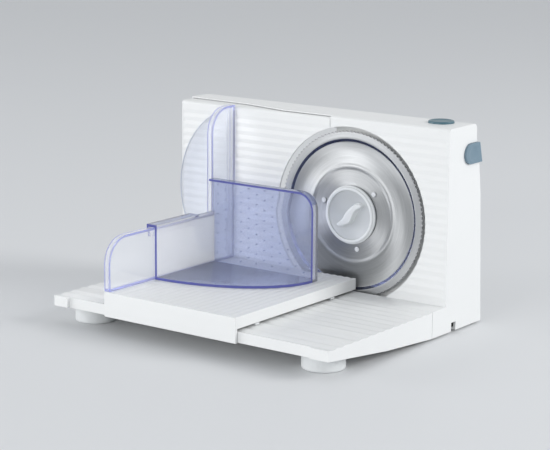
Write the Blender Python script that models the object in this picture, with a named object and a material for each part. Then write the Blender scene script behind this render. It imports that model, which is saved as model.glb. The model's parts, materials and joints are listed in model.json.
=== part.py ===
"""Electric food slicer: a housing with a round serrated blade, a stop plate that sets the slice thickness,
a folding base, and a carriage with a clear wall and a food holder. Metres, X along the housing, +Y to the
back."""

import math

import bmesh
import bpy
from mathutils import Matrix, Vector

for leftover in list(bpy.data.objects):
    bpy.data.objects.remove(leftover)

# Blade and the recess it turns in
BLADE_RADIUS = 0.085
BLADE_CLEARANCE = 0.002
BLADE_DIP = 0.012
BLADE_INSET = 0.0025
SHEET = 0.001
SCALLOPS = 72
SCALLOP_DEPTH = 0.0012
RING_WIDTH = 0.012
DISH_DEPTH = 0.0015
RIDGE_RADIUS = 0.0485
RIDGE_WIDTH = 0.005
RIDGE_HEIGHT = 0.0008
RECESS_DEPTH = 0.011

# Housing
FOOT_TOP = 0.028
HEAD_MARGIN = 0.0087
RIGHT_MARGIN = 0.025
STOP_PLATE_WIDTH = 0.1875
SEAM_OFFSET = 0.024
FOOT_DEPTH = 0.023
BODY_DEPTH = 0.066
BACK_LEAN = 0.017
CORNER = 0.005
WALL = 0.0025
GAP = 0.0003
SEAM = 0.0006
PLAY = 0.0005
OVERRUN = 0.002
TOLERANCE = 0.000005
PAD_HEIGHT = 0.002
LIP = 0.001
LIP_SLANT = 0.057
LIP_STEP = 0.003
FACE_BAND = 0.0097
PANEL_EDGE = 0.002

# Ribs on the faces, in CAD as shallow grooves
FACE_RIB_PITCH = 0.008
BASE_RIB_PITCH = 0.0133
RIB_DEPTH = 0.0005
BASE_RIB_DEPTH = 0.0009
RIB_CREST = 0.00005

# Stop plate and its drive
SLOT_LIP = 0.001
FLANGE_DEPTH = 0.018
STOP_TRAVEL = 0.015
COLUMN_WIDTH = 0.0425
COLUMN_END = 0.010
ROD_SPREAD = 0.035
ROD_RADIUS = 0.003
SPINDLE_HEIGHT = 0.095
SPINDLE_RADIUS = 0.003
NUT_LENGTH = 0.006
NUT_RADIUS = 0.008
KNOB_RADIUS = 0.020
KNOB_STAND = 0.004
KNOB_FLUTE = 0.001
KNOB_FLUTES = 20
COLLAR_RADIUS = 0.0055
BUSH_WALL = 0.0019
BUSH_LENGTH = 0.010
BUSH_FLANGE = 0.0022
ROD_SOCKET = 0.0095

# Drive of the blade
WHEEL_TEETH = 44
WORM_STARTS = 2
WHEEL_RADIUS = 0.028
WHEEL_ADDENDUM = 0.001
WHEEL_DEDENDUM = 0.0016
WHEEL_WIDTH = 0.008
WORM_RADIUS = 0.007
WORM_ADDENDUM = 0.001
WORM_DEDENDUM = 0.0018
WORM_LENGTH = 0.024
SHAFT_RADIUS = 0.0025
AXLE_RADIUS = 0.005
AXLE_HEAD = 0.003
HUB_RADIUS = 0.012
RIVET_CIRCLE = 0.0345
RIVET_ANGLE = 42
RIVET_RADIUS = 0.0028
RIVET_SHANK = 0.0014
RIVET_HEAD = 0.0009
RIVET_CROWN_SHARE = 0.8
FLANGE_RADIUS = 0.039
FLANGE_THICKNESS = 0.002
GEAR_SETBACK = 0.020
GEAR_ROOM = 0.036
GEAR_HOLE = 0.0305
CAN_RADIUS = 0.019
CAN_WALL = 0.0015
CAN_CLEARANCE = 0.0125
CAN_DROP = 0.015
ROTOR_RADIUS = 0.014
BRACKET_THICKNESS = 0.003
BRACKET_SIDE = 0.0065
LEDGE_HEIGHT = 0.0035
LEDGE_DEPTH = 0.007
CARRIER_THICKNESS = 0.0025
CARRIER_SHARE = 0.34
POST_RADIUS = 0.0035
ARM_HEIGHT = 0.006

# Lock cap
CAP_RADIUS = 0.029
CAP_BOSS = 0.0077
CAP_HEIGHT = 0.0034
CAP_RIM = 0.0032
CAP_DISH = 0.0018
GRIP_LENGTH = 0.0385
GRIP_HEIGHT = 0.004
GRIP_NECK = 0.0036
GRIP_MIDDLE = 0.0085
GRIP_BEND = 0.0026
GRIP_STEPS = 12
GRIP_END_SHARE = 0.2
GRIP_ROUNDNESS = 8

# Buttons and switch
BUTTON_RADIUS = 0.0125
BUTTON_STAND = 0.0025
BUTTON_THICKNESS = 0.0065
BUTTON_TRAVEL = 0.0025
BUTTON_BACK = 0.031
CROWN_SHARES = ((1, 2), (0.92, 1), (0.6, 0.25), (0, 0))
DISH_SHARES = ((0, -1), (0.5, -0.7), (0.8, 0), (0.85, 2))
BUTTON_RIGHT = 0.029
STEM_RADIUS = 0.003
SIDE_BUTTON_HEIGHT = 0.0196
SIDE_BUTTON_DROP = 0.0180
SIDE_BUTTON_FRONT = 0.0265
SIDE_BUTTON_SKIRT = 0.013
SIDE_BUTTON_WRAP = 0.0015
SWITCH_LENGTH = 0.034
SWITCH_DEPTH = 0.020
SWITCH_HEIGHT = 0.020
SPRING_WIRE = 0.0004
SPRING_RADIUS = 0.0042
SPRING_TURNS = 5
SPRING_STEPS = 12

# Rear cover and what is behind it
SCREW_RADIUS = 0.0015
SCREW_HEAD = 0.0036
SCREW_HEAD_HEIGHT = 0.0016
SCREW_LENGTH = 0.012
COVER_BOSS = 0.0055
VENT_WIDTH = 0.0025
VENT_LENGTH = 0.030
VENT_PITCH = 0.007
VENTS = 8
NOTCH_WIDTH = 0.008
NOTCH_HEIGHT = 0.0085
NOTCH_SETBACK = 0.011
GLAND_LENGTH = 0.007
CORD_RADIUS = 0.0026
TERMINAL_WIDTH = 0.020
TERMINAL_DEPTH = 0.014
TERMINAL_HEIGHT = 0.0155

# Base, feet and hinge
BASE_DEPTH = 0.171
BASE_SKIRT = 0.003
BASE_EDGE = 0.010
BASE_BEND_SETBACK = 0.0935
BASE_BEND_DROP = 0.0204
CORNER_BLOCK_LEFT = 0.017
CORNER_BLOCK_RIGHT = 0.020
FRONT_RECESS = 0.0035
LEFT_CUT = 0.025
LEFT_CUT_SETBACK = 0.066
FRONT_FOOT_RADIUS = 0.0202
FRONT_FOOT_SETBACK = 0.036
FRONT_FOOT_FROM_LEFT = 0.0215
FRONT_FOOT_FROM_RIGHT = 0.030
FOOT_BOSS_RADIUS = 0.015
FOOT_PEG_RADIUS = 0.006
FOOT_PEG_HEIGHT = 0.005
REAR_PAD_RADIUS = 0.009
REAR_PAD_INSET = 0.012
HINGE_INSET = 0.040
LUG_WIDTH = 0.012
LUG_REACH = 0.013
LUG_SIZE = 0.016
CHEEK = 0.0045
PIN_RADIUS = 0.002
PIN_SETBACK = 0.007
PIN_HEIGHT = 0.014

# Carriage
TABLE_WIDTH = 0.1574
TABLE_HEIGHT = 0.0135
TABLE_SIDE = 0.0113
TABLE_LEFT = 0.0643
SKIRT_DROP = 0.0245
SKIRT = 0.003
TABLE_TOP = 0.003
FACE_GAP = 0.0015
SHOE_WIDTH = 0.006
SHOE_SETBACK = 0.030

# Clear wall, thumb guard and food holder
WALL_RIM = 0.007
WALL_SHEET = 0.0025
RIM_SHEET = 0.002
LOW_WALL = 0.0512
TALL_WALL = 0.1567
TALL_WIDTH = 0.0367
WALL_CORNER = 0.025
GUARD_RADIUS = 0.090
GUARD_SHEET = 0.0025
GUARD_REACH = 0.0613
GUARD_BOTTOM = 0.0025
GUARD_RISE = 0.008
GUARD_SETBACK = 0.0035
HOLDER_SHEET = 0.0025
HOLDER_DEPTH = 0.090
HOLDER_WIDTH = 0.1279
HOLDER_HEIGHT = 0.0872
HOLDER_CORNER = 0.018
HOLDER_RIM = 0.006
HOOK_LENGTH = 0.066
HOOK_DROP = 0.0118
HOLDER_SETBACK = 0.038
FLOOR_STEPS = 16

# Places that follow from the sizes above
recess_radius = BLADE_RADIUS + BLADE_CLEARANCE
tub_radius = recess_radius + WALL
bottom = PAD_HEIGHT
axis_z = FOOT_TOP + recess_radius - BLADE_DIP
top = axis_z + recess_radius + HEAD_MARGIN
overall_width = STOP_PLATE_WIDTH + SEAM_OFFSET + recess_radius + RIGHT_MARGIN + BUTTON_STAND
left = -overall_width / 2
right = overall_width / 2 - BUTTON_STAND
axis_x = right - RIGHT_MARGIN - recess_radius
seam_x = axis_x - SEAM_OFFSET
overall_depth = BASE_DEPTH + FOOT_DEPTH + BODY_DEPTH + KNOB_STAND
front = -overall_depth / 2
hinge_y = front + BASE_DEPTH
face_y = hinge_y + FOOT_DEPTH
back = face_y + BODY_DEPTH
panel_back = face_y + WALL
recess_floor = face_y + RECESS_DEPTH
tub_back = recess_floor + WALL
blade_y = face_y + BLADE_INSET
disc_y = blade_y + DISH_DEPTH
gear_front = tub_back + GEAR_SETBACK - WHEEL_WIDTH / 2
gear_back = gear_front + WHEEL_WIDTH
gear_y = (gear_front + gear_back) / 2
flange_y = disc_y + SHEET + GAP
worm_x = axis_x + WHEEL_RADIUS + WORM_RADIUS
lip_back = face_y + FLANGE_DEPTH
column_y = lip_back + GAP + NUT_LENGTH + STOP_TRAVEL + PLAY
shelf_y = lip_back + STOP_TRAVEL + LIP_STEP
spindle_x = left + COLUMN_WIDTH - NUT_RADIUS - ROD_RADIUS - COLLAR_RADIUS
column_low = SPINDLE_HEIGHT - ROD_SPREAD - COLUMN_END
column_high = SPINDLE_HEIGHT + ROD_SPREAD + COLUMN_END
plate_left = left + LIP + GAP
plate_right = seam_x - SEAM
plate_bottom = FOOT_TOP + GAP
plate_top = top - LIP - SEAM
beam_low = top - FLANGE_DEPTH
table_x = left + TABLE_LEFT
table_right = table_x + TABLE_WIDTH
table_z = FOOT_TOP + TABLE_HEIGHT
wall_face = table_x + WALL_RIM
holder_x = wall_face + GAP
holder_y = face_y - HOLDER_SETBACK
wall_z = table_z + GAP
low_top = wall_z + LOW_WALL

# The back leans in towards the top: shares of the height, and of the whole lean
BACK_SHARES = ((0, 0), (0.64, 0.4), (0.81, 0.65), (0.93, 1), (1, 1))


def back_at(z):
    """The y of the housing's back at this height."""
    share = (z - bottom) / (top - bottom)
    for (low, lean_low), (high, lean_high) in zip(BACK_SHARES, BACK_SHARES[1:]):
        if share <= high or high == 1:
            part = (share - low) / (high - low)
            return back - BACK_LEAN * (lean_low + part * (lean_high - lean_low))


def back_line(low, high, inset=0):
    """Points (y, z) up the back between two heights."""
    heights = sorted([bottom + share * (top - bottom) for share, lean in BACK_SHARES] + [beam_low])
    inside = [z for z in heights if low < z < high]
    return [(back_at(z) - inset, z) for z in (low, *inside, high)]


def add_object(name, bm):
    bmesh.ops.recalc_face_normals(bm, faces=bm.faces)
    mesh = bpy.data.meshes.new(name)
    bm.to_mesh(mesh)
    bm.free()
    piece = bpy.data.objects.new(name, mesh)
    bpy.context.collection.objects.link(piece)
    return piece


def at(axis, a, b, along):
    """A point of a plane square to the axis: X takes (y, z), Y takes (x, z), Z takes (x, y)."""
    if axis == "X":
        return along, a, b
    if axis == "Y":
        return a, along, b
    return a, b, along


def prism(name, axis, outline, low, high):
    bm = bmesh.new()
    rings = [[bm.verts.new(at(axis, a, b, t)) for a, b in outline] for t in (low, high)]
    bm.faces.new(rings[0])
    bm.faces.new(rings[1])
    for i in range(len(outline)):
        j = (i + 1) % len(outline)
        bm.faces.new((rings[0][i], rings[0][j], rings[1][j], rings[1][i]))
    return add_object(name, bm)


def box(name, x, y, z):
    return prism(name, "Z", [(x[0], y[0]), (x[1], y[0]), (x[1], y[1]), (x[0], y[1])], z[0], z[1])


def turned(name, axis, centre, profile, steps):
    """A solid of revolution from (radius, place along the axis) points. A profile that starts off the axis
    closes on itself, one that starts on it gets a flat or pointed end."""
    bm = bmesh.new()
    rings = []
    for radius, along in profile:
        ring = []
        for i in range(steps if radius > 0 else 1):
            turn = 2 * math.pi * i / steps
            a = centre[0] + radius * math.cos(turn)
            b = centre[1] + radius * math.sin(turn)
            ring.append(bm.verts.new(at(axis, a, b, along)))
        rings.append(ring)
    for end, neighbour in ((0, 1), (-1, -2)):
        if profile[end][0] == 0 and profile[end][1] == profile[neighbour][1]:
            bm.faces.new(rings[neighbour])
            bm.verts.remove(rings[end][0])
            rings[end] = None
    rings = [ring for ring in rings if ring]
    pairs = list(zip(rings, rings[1:]))
    if profile[0][0] > 0:
        pairs.append((rings[-1], rings[0]))
    for one, two in pairs:
        for i in range(steps):
            j = i + 1
            corners = [one[i % len(one)], one[j % len(one)], two[j % len(two)], two[i % len(two)]]
            corners = list(dict.fromkeys(corners))
            if len(corners) > 2:
                bm.faces.new(corners)
    return add_object(name, bm)


def cylinder(name, axis, centre, radius, low, high, steps=32):
    return turned(name, axis, centre, [(0, low), (radius, low), (radius, high), (0, high)], steps)


def combine(piece, others, operation):
    """Applies a Boolean with each of the others and removes them."""
    for other in others:
        modifier = piece.modifiers.new(operation, "BOOLEAN")
        modifier.operation = operation
        modifier.object = other
    graph = bpy.context.evaluated_depsgraph_get()
    mesh = bpy.data.meshes.new_from_object(piece.evaluated_get(graph))
    piece.modifiers.clear()
    piece.data = mesh
    for other in others:
        bpy.data.objects.remove(other)
    return piece


def join(piece, *others):
    return combine(piece, others, "UNION")


def cut(piece, *others):
    return combine(piece, others, "DIFFERENCE")


def arc(centre, radius, start, end, steps):
    """Points on an arc, in degrees, both ends included."""
    points = []
    for i in range(steps + 1):
        turn = math.radians(start + (end - start) * i / steps)
        points.append((centre[0] + radius * math.cos(turn), centre[1] + radius * math.sin(turn)))
    return points


def rib_cutter(name, along, low, high, start, end, pitch, surface, outward, depth=RIB_DEPTH):
    """A saw-edged block that cuts shallow grooves. `along` is the axis the grooves run along, `surface` the
    face they are cut in and `outward` +1 or -1, the side on which the face is open."""
    count = max(2, round((end - start) / pitch))
    step = (end - start) / count
    crest = surface + outward * RIB_CREST
    valley = surface - outward * depth
    edge = [(start, crest)]
    for i in range(count):
        edge.append((start + (i + 0.5) * step, valley))
        edge.append((start + (i + 1) * step, crest))
    outer = surface + outward * OVERRUN
    outline = edge + [(end, outer), (start, outer)]
    if along == "X" and name.endswith("upright"):
        outline = [(b, a) for a, b in outline]
    return prism(name, along, outline, low, high)


def paint(piece, color, roughness=0.4, metallic=0.0, alpha=1.0):
    label = f"{piece.name}_finish"
    material = bpy.data.materials.new(label)
    material.use_nodes = True
    shader = material.node_tree.nodes["Principled BSDF"]
    shader.inputs["Base Color"].default_value = (*color, 1)
    shader.inputs["Roughness"].default_value = roughness
    shader.inputs["Metallic"].default_value = metallic
    shader.inputs["Alpha"].default_value = alpha
    piece.data.materials.clear()
    piece.data.materials.append(material)
    piece.data.shade_smooth()
    piece.data.set_sharp_from_angle(angle=math.radians(35))
    return piece


WHITE = (0.86, 0.88, 0.88)
STEEL = (0.62, 0.63, 0.65)
BLUE_GREY = (0.22, 0.35, 0.40)
CLEAR_BLUE = (0.55, 0.58, 0.86)
PALE_CLEAR = (0.85, 0.87, 0.93)
DARK = (0.05, 0.05, 0.055)
BRASS = (0.75, 0.6, 0.25)
NATURAL = (0.85, 0.85, 0.8)
LIGHT_GREY = (0.72, 0.74, 0.75)
RUBBER = (0.5, 0.5, 0.5)
COPPER = (0.35, 0.2, 0.1)


def pivot(piece, point):
    """Puts the piece's origin on its joint's axis, with its shape where it was."""
    piece.data.transform(Matrix.Translation(-Vector(point)))
    piece.location = point
    return piece


def side_button_outline(grow):
    """D shape in (y, z): a round front end, and the housing's back line at the rear."""
    radius = SIDE_BUTTON_HEIGHT / 2
    high = top - SIDE_BUTTON_DROP
    centre = (face_y + SIDE_BUTTON_FRONT + radius, high - radius)
    nose = arc(centre, radius + grow, 90, 270, 10)
    rear = [(back_at(z) + SIDE_BUTTON_WRAP + grow, z) for z in (high - 2 * radius - grow, high + grow)]
    return nose + rear


side_button_inner = right + BUTTON_STAND - SIDE_BUTTON_SKIRT
switch_z = top - SIDE_BUTTON_DROP - SIDE_BUTTON_HEIGHT / 2
switch_right = side_button_inner - BUTTON_TRAVEL - PLAY - GAP
switch_left = switch_right - SWITCH_LENGTH
switch_y = face_y + SIDE_BUTTON_FRONT + SIDE_BUTTON_HEIGHT / 2
button_x = right - BUTTON_RIGHT
button_y = face_y + BUTTON_BACK
window_top = bottom + BACK_SHARES[3][0] * (top - bottom)
cover_boss_y = back_at(window_top) - SCREW_HEAD_HEIGHT
can_top = axis_z - WORM_LENGTH / 2 - CAN_DROP
can_low = bottom + 3 * WALL + CAN_CLEARANCE
notch_y = face_y + NOTCH_SETBACK
carrier_y = gear_back + WORM_RADIUS + WORM_ADDENDUM - WHEEL_WIDTH / 2 + CARRIER_THICKNESS
arm_z = axis_z + WORM_LENGTH / 2 + WALL
bracket_z = can_top + GAP


def screw_places():
    """(x, z, where its post starts) for the four screws of the rear cover."""
    inset = 2 * COVER_BOSS
    low = bottom + WALL + COVER_BOSS + GAP
    high = window_top - inset
    return [
        (seam_x + WALL + COVER_BOSS + GAP, low, panel_back),
        (right - WALL - COVER_BOSS - GAP, low + NOTCH_HEIGHT + WALL, panel_back),
        (right - WALL - COVER_BOSS - GAP, switch_z - SIDE_BUTTON_HEIGHT / 2 - inset, panel_back),
        (seam_x + WALL + COVER_BOSS + GAP, high, tub_back),
    ]


def carrier_posts():
    reach = GEAR_ROOM + POST_RADIUS
    near = reach * CARRIER_SHARE
    return [(axis_x - near, axis_z + reach), (axis_x + near, axis_z + reach),
            (axis_x - near, axis_z - reach), (axis_x + near / 2, axis_z - reach)]


def housing_shell():
    back_top = back_at(top)
    corner = arc((back_top - CORNER, top - CORNER), CORNER, 90, 0, 3)
    body = [(face_y, bottom), *arc((face_y + WALL, top - WALL), WALL, 180, 90, 3), *corner,
            *reversed(back_line(bottom, top - CORNER)[:-1])]
    shell = prism("housing_shell", "X", body, seam_x, right)

    foot_back = shelf_y + WALL
    foot = box("foot", (left, right), (hinge_y, foot_back), (bottom, FOOT_TOP))
    bulge_back = back_at(axis_z + GEAR_ROOM + WALL) - GAP
    bulge = cylinder("bulge", "Y", (axis_x, axis_z), GEAR_ROOM + WALL, recess_floor + GAP, bulge_back, 48)
    bulge = cut(bulge, box("bulge_half", (seam_x + WALL / 2, right), (face_y, back), (bottom, top)))
    beam = prism("beam", "X", [(shelf_y, beam_low), (shelf_y, top), *corner,
                               *reversed(back_line(beam_low, top - CORNER)[:-1])], left, seam_x + WALL)
    hollow_back = back_line(beam_low, top - CORNER, WALL)[:-1]
    beam = cut(beam, prism("beam_hollow", "X",
                           [(shelf_y + WALL, beam_low - OVERRUN), (shelf_y + WALL, top - WALL),
                            (back_top - WALL - CORNER, top - WALL), *reversed(hollow_back),
                            (back_at(beam_low) - WALL, beam_low - OVERRUN)],
                           left + WALL, seam_x + OVERRUN))
    side = prism("side", "X", [(shelf_y, bottom), (shelf_y, top - LIP),
                               *reversed(back_line(bottom, top - LIP)[:-1])],
                 left, left + WALL)
    side_lip = box("side_lip", (left, left + LIP), (lip_back, shelf_y + WALL), (bottom, top))
    lip_near = panel_back + GAP
    slant_end = seam_x - LIP_SLANT - LIP
    top_lip = prism("top_lip", "Z", [
        (left, lip_back), (slant_end - LIP_SLANT, lip_back - LIP_STEP), (slant_end, lip_near),
        (seam_x + WALL, lip_near), (seam_x + WALL, shelf_y + WALL), (left, shelf_y + WALL)], top - LIP, top)
    leg = box("leg", (left, left + 2 * REAR_PAD_INSET), (shelf_y + WALL, back - OVERRUN),
              (bottom, bottom + 2 * LIP))
    column_back = reversed(back_line(column_low, column_high, GAP))
    column = prism("column", "X", [(column_y, column_low), (column_y, column_high), *column_back],
                   left + LIP, left + COLUMN_WIDTH)
    shell = join(shell, foot, beam, side, side_lip, top_lip, leg, column)

    window = [(panel_back, bottom + WALL), (panel_back, top - WALL),
              (back_at(window_top) - WALL - CORNER / 2, top - WALL),
              (back_at(window_top) - WALL, window_top),
              (back + OVERRUN, window_top), (back + OVERRUN, bottom + WALL)]
    cavity = prism("cavity", "X", window, seam_x + WALL, right - WALL)
    trench = box("trench", (left + WALL, right - WALL), (hinge_y + WALL, face_y - SLOT_LIP),
                 (bottom - OVERRUN, FOOT_TOP - WALL))
    rear_trench = box("rear_trench", (left + WALL, seam_x - WALL), (panel_back, foot_back - WALL),
                      (bottom - OVERRUN, FOOT_TOP - WALL))
    hollows = []
    for hollow in (cavity, trench, rear_trench):
        tub = cylinder("tub", "Y", (axis_x, axis_z), tub_radius, face_y - WALL, tub_back, 72)
        hollows.append(cut(hollow, tub))
    gear_room = cylinder("gear_room", "Y", (axis_x, axis_z), GEAR_ROOM, tub_back - PLAY,
                         bulge_back - WALL, 48)
    gear_hole = cylinder("gear_hole", "Y", (axis_x, axis_z), GEAR_HOLE, recess_floor - WALL,
                         tub_back + OVERRUN, 48)
    recess = cylinder("recess", "Y", (axis_x, axis_z), recess_radius, face_y - SLOT_LIP, recess_floor, 72)
    column_hollow = prism("column_hollow", "X", [
        (column_y + WALL, column_low + WALL), (column_y + WALL, column_high - WALL),
        *reversed(back_line(column_low + WALL, column_high - WALL, WALL + GAP))], left + WALL,
        left + COLUMN_WIDTH - WALL)
    shell = cut(shell, *hollows, recess)
    shell = cut(join(shell, bulge), gear_room, gear_hole, column_hollow)

    shell = join(shell, *housing_bosses())
    shell = cut(shell, *housing_openings())
    return paint(shell, WHITE)


def housing_bosses():
    """Posts, ledges, the worm's arm and the hinge cheeks, all moulded with the shell."""
    parts = []
    for i, (x, z, start) in enumerate(screw_places()):
        start -= WALL / 2
        parts.append(cylinder(f"screw_post_{i}", "Y", (x, z), COVER_BOSS - WALL / 2, start,
                              cover_boss_y - 2 * WALL - GAP, 16))
    for i, (x, z) in enumerate(carrier_posts()):
        parts.append(cylinder(f"carrier_post_{i}", "Y", (x, z), POST_RADIUS, recess_floor + WALL / 2,
                              carrier_y - GAP, 16))
    for side in (-1, 1):
        outer = worm_x + side * (CAN_RADIUS + WALL / 2)
        inner = outer - side * BRACKET_SIDE
        parts.append(box("ledge", sorted((inner, outer)),
                         (recess_floor + WALL / 2, recess_floor + WALL / 2 + LEDGE_DEPTH),
                         (bracket_z - GAP - LEDGE_HEIGHT, bracket_z - GAP)))
    parts.append(box("arm", (worm_x - POST_RADIUS - WALL, worm_x + POST_RADIUS + WALL),
                     (recess_floor + WALL / 2, gear_y + POST_RADIUS + WALL), (arm_z, arm_z + ARM_HEIGHT)))
    for step in (-1, 1):
        parts.append(cylinder("switch_post", "Y",
                              (switch_left + SWITCH_LENGTH / 2 + step * SWITCH_LENGTH / 4, switch_z),
                              POST_RADIUS, panel_back - WALL / 2, switch_y - SWITCH_DEPTH / 2 - GAP, 16))
    for x in (left + HINGE_INSET, right - HINGE_INSET):
        for side in (-1, 1):
            near = x + side * (LUG_WIDTH / 2 + PLAY)
            far = near + side * CHEEK
            parts.append(box("cheek", sorted((near, far)), (hinge_y + WALL / 2, hinge_y + LUG_REACH + WALL),
                             (PIN_HEIGHT - PIN_RADIUS - 2 * WALL, FOOT_TOP - WALL / 2)))
    return parts


def housing_openings():
    """Holes and notches through the shell."""
    parts = [cylinder("button_hole", "Z", (button_x, button_y), BUTTON_RADIUS + GAP, top - WALL - OVERRUN,
                      top + OVERRUN, 32)]
    parts.append(prism("side_button_hole", "X", side_button_outline(GAP),
                       side_button_inner - BUTTON_TRAVEL - PLAY, right + OVERRUN))
    parts.append(box("cord_notch", (right - WALL - OVERRUN, right + OVERRUN),
                     (notch_y, notch_y + NOTCH_WIDTH),
                     (bottom - OVERRUN, bottom + NOTCH_HEIGHT)))
    for x in (left + HINGE_INSET, right - HINGE_INSET):
        half = LUG_WIDTH / 2 + GAP
        parts.append(box("lug_notch", (x - half, x + half), (hinge_y - OVERRUN, hinge_y + WALL + PLAY),
                         (bottom - OVERRUN, PIN_HEIGHT + LUG_SIZE / 2 + GAP)))
        parts.append(cylinder("pin_hole", "X", (hinge_y + PIN_SETBACK, PIN_HEIGHT), PIN_RADIUS + GAP,
                              x - LUG_WIDTH / 2 - CHEEK - OVERRUN, x + LUG_WIDTH / 2 + CHEEK + OVERRUN, 16))
    for x, z, start in screw_places():
        parts.append(cylinder("screw_hole", "Y", (x, z), SCREW_RADIUS + GAP,
                              cover_boss_y - WALL - SCREW_LENGTH - PLAY, cover_boss_y, 12))
    bush_radius = ROD_RADIUS + GAP + BUSH_WALL
    for offset in (-ROD_SPREAD, ROD_SPREAD):
        parts.append(cylinder("bush_hole", "Y", (spindle_x, SPINDLE_HEIGHT + offset), bush_radius + GAP,
                              column_y - OVERRUN, column_y + WALL + OVERRUN, 24))
    parts.append(cylinder("spindle_hole", "Y", (spindle_x, SPINDLE_HEIGHT), SPINDLE_RADIUS + GAP,
                          column_y - OVERRUN, back + OVERRUN, 24))
    parts.append(cylinder("worm_bush_hole", "Z", (worm_x, gear_y), SHAFT_RADIUS + GAP + BUSH_WALL / 2 + GAP,
                          arm_z - OVERRUN, arm_z + ARM_HEIGHT + OVERRUN, 24))
    face_ribs = rib_cutter("face_ribs_upright", "X", seam_x - OVERRUN, right - PANEL_EDGE, FOOT_TOP + GAP,
                           top - FACE_BAND, FACE_RIB_PITCH, face_y, -1)
    return parts + [face_ribs]


def stop_plate():
    plate = box("stop_plate", (plate_left, plate_right), (face_y, panel_back), (plate_bottom, plate_top))
    cap = box("plate_top", (plate_left, plate_right), (face_y, lip_back), (plate_top - WALL, plate_top))
    side = box("plate_side", (plate_left, plate_left + WALL), (face_y, lip_back), (plate_bottom, plate_top))
    sill = box("plate_sill", (plate_left, plate_right), (face_y, lip_back),
               (plate_bottom, plate_bottom + WALL))
    boss = cylinder("nut_boss", "Y", (spindle_x, SPINDLE_HEIGHT), NUT_RADIUS, face_y + WALL / 2,
                    lip_back, 24)
    sockets, bores = [], []
    for offset in (-ROD_SPREAD, ROD_SPREAD):
        centre = (spindle_x, SPINDLE_HEIGHT + offset)
        sockets.append(cylinder("rod_socket", "Y", centre, ROD_RADIUS + GAP + WALL, face_y + WALL / 2,
                                panel_back + ROD_SOCKET, 24))
        bores.append(cylinder("rod_bore", "Y", centre, ROD_RADIUS + GAP, panel_back,
                              panel_back + ROD_SOCKET + OVERRUN, 24))
    plate = join(plate, cap, side, sill, boss, *sockets)
    bore = cylinder("nut_bore", "Y", (spindle_x, SPINDLE_HEIGHT), SPINDLE_RADIUS + BUSH_WALL / 2,
                    panel_back, lip_back + OVERRUN, 24)
    ring = cylinder("ring_cut", "Y", (axis_x, axis_z), recess_radius, face_y - OVERRUN,
                    lip_back + OVERRUN, 96)
    ribs = rib_cutter("plate_ribs_upright", "X", plate_left + PANEL_EDGE, plate_right + OVERRUN,
                      plate_bottom, top - FACE_BAND, FACE_RIB_PITCH, face_y, -1)
    edge = prism("plate_edge", "X", [
        (face_y - OVERRUN, plate_top + OVERRUN), (face_y - OVERRUN, plate_top - WALL),
        *arc((face_y + WALL, plate_top - WALL), WALL, 180, 90, 3), (face_y + WALL, plate_top + OVERRUN)],
        plate_left - OVERRUN, plate_right + OVERRUN)
    return paint(pivot(cut(plate, *bores, bore, ring, ribs, edge),
                       (spindle_x, panel_back, SPINDLE_HEIGHT)), WHITE)


def thickness_drive():
    """Guide rods, nut, spindle, bushes and knob of the stop plate."""
    pieces = []
    for label, offset in (("lower", -ROD_SPREAD), ("upper", ROD_SPREAD)):
        centre = (spindle_x, SPINDLE_HEIGHT + offset)
        rod = cylinder(f"guide_rod_{label}", "Y", centre, ROD_RADIUS, panel_back + GAP, column_y + PLAY, 24)
        pieces.append(paint(rod, STEEL, 0.3, 1.0))
        bore = ROD_RADIUS + GAP
        bush = turned(f"guide_bush_{label}", "Y", centre, [
            (bore, column_y - GAP - LIP), (bore + BUSH_WALL + BUSH_FLANGE, column_y - GAP - LIP),
            (bore + BUSH_WALL + BUSH_FLANGE, column_y - GAP), (bore + BUSH_WALL, column_y - GAP),
            (bore + BUSH_WALL, column_y + BUSH_LENGTH), (bore, column_y + BUSH_LENGTH)], 24)
        pieces.append(paint(bush, BRASS, 0.4))
    centre = (spindle_x, SPINDLE_HEIGHT)
    bore = SPINDLE_RADIUS + GAP
    nut_front = lip_back + GAP
    nut = turned("spindle_nut", "Y", centre, [
        (bore, nut_front), (NUT_RADIUS, nut_front), (NUT_RADIUS, nut_front + NUT_LENGTH),
        (bore, nut_front + NUT_LENGTH)], 24)
    pieces.append(paint(nut, BRASS, 0.4))
    knob_back = back + KNOB_STAND
    inside = column_y + WALL + GAP
    tip = panel_back + STOP_TRAVEL + LIP
    spindle = turned("thickness_spindle", "Y", centre, [
        (0, tip), (SPINDLE_RADIUS, tip), (SPINDLE_RADIUS, inside), (COLLAR_RADIUS, inside),
        (COLLAR_RADIUS, inside + WALL), (SPINDLE_RADIUS, inside + WALL), (SPINDLE_RADIUS, knob_back - WALL),
        (0, knob_back - WALL)], 24)
    pieces.append(paint(pivot(spindle, (spindle_x, inside, SPINDLE_HEIGHT)), STEEL, 0.35, 1.0))
    knob_front = back_at(SPINDLE_HEIGHT - KNOB_RADIUS) + GAP
    rim = []
    for i in range(2 * KNOB_FLUTES):
        turn = math.pi * i / KNOB_FLUTES
        radius = KNOB_RADIUS - KNOB_FLUTE * (i % 2)
        rim.append((spindle_x + radius * math.cos(turn), SPINDLE_HEIGHT + radius * math.sin(turn)))
    knob = prism("thickness_knob", "Y", rim, knob_front, knob_back)
    knob = cut(knob, cylinder("knob_bore", "Y", centre, bore, knob_front - OVERRUN,
                              knob_back - WALL + GAP, 24))
    pieces.append(paint(pivot(knob, (spindle_x, knob_front, SPINDLE_HEIGHT)), BLUE_GREY, 0.45))
    return pieces


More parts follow.
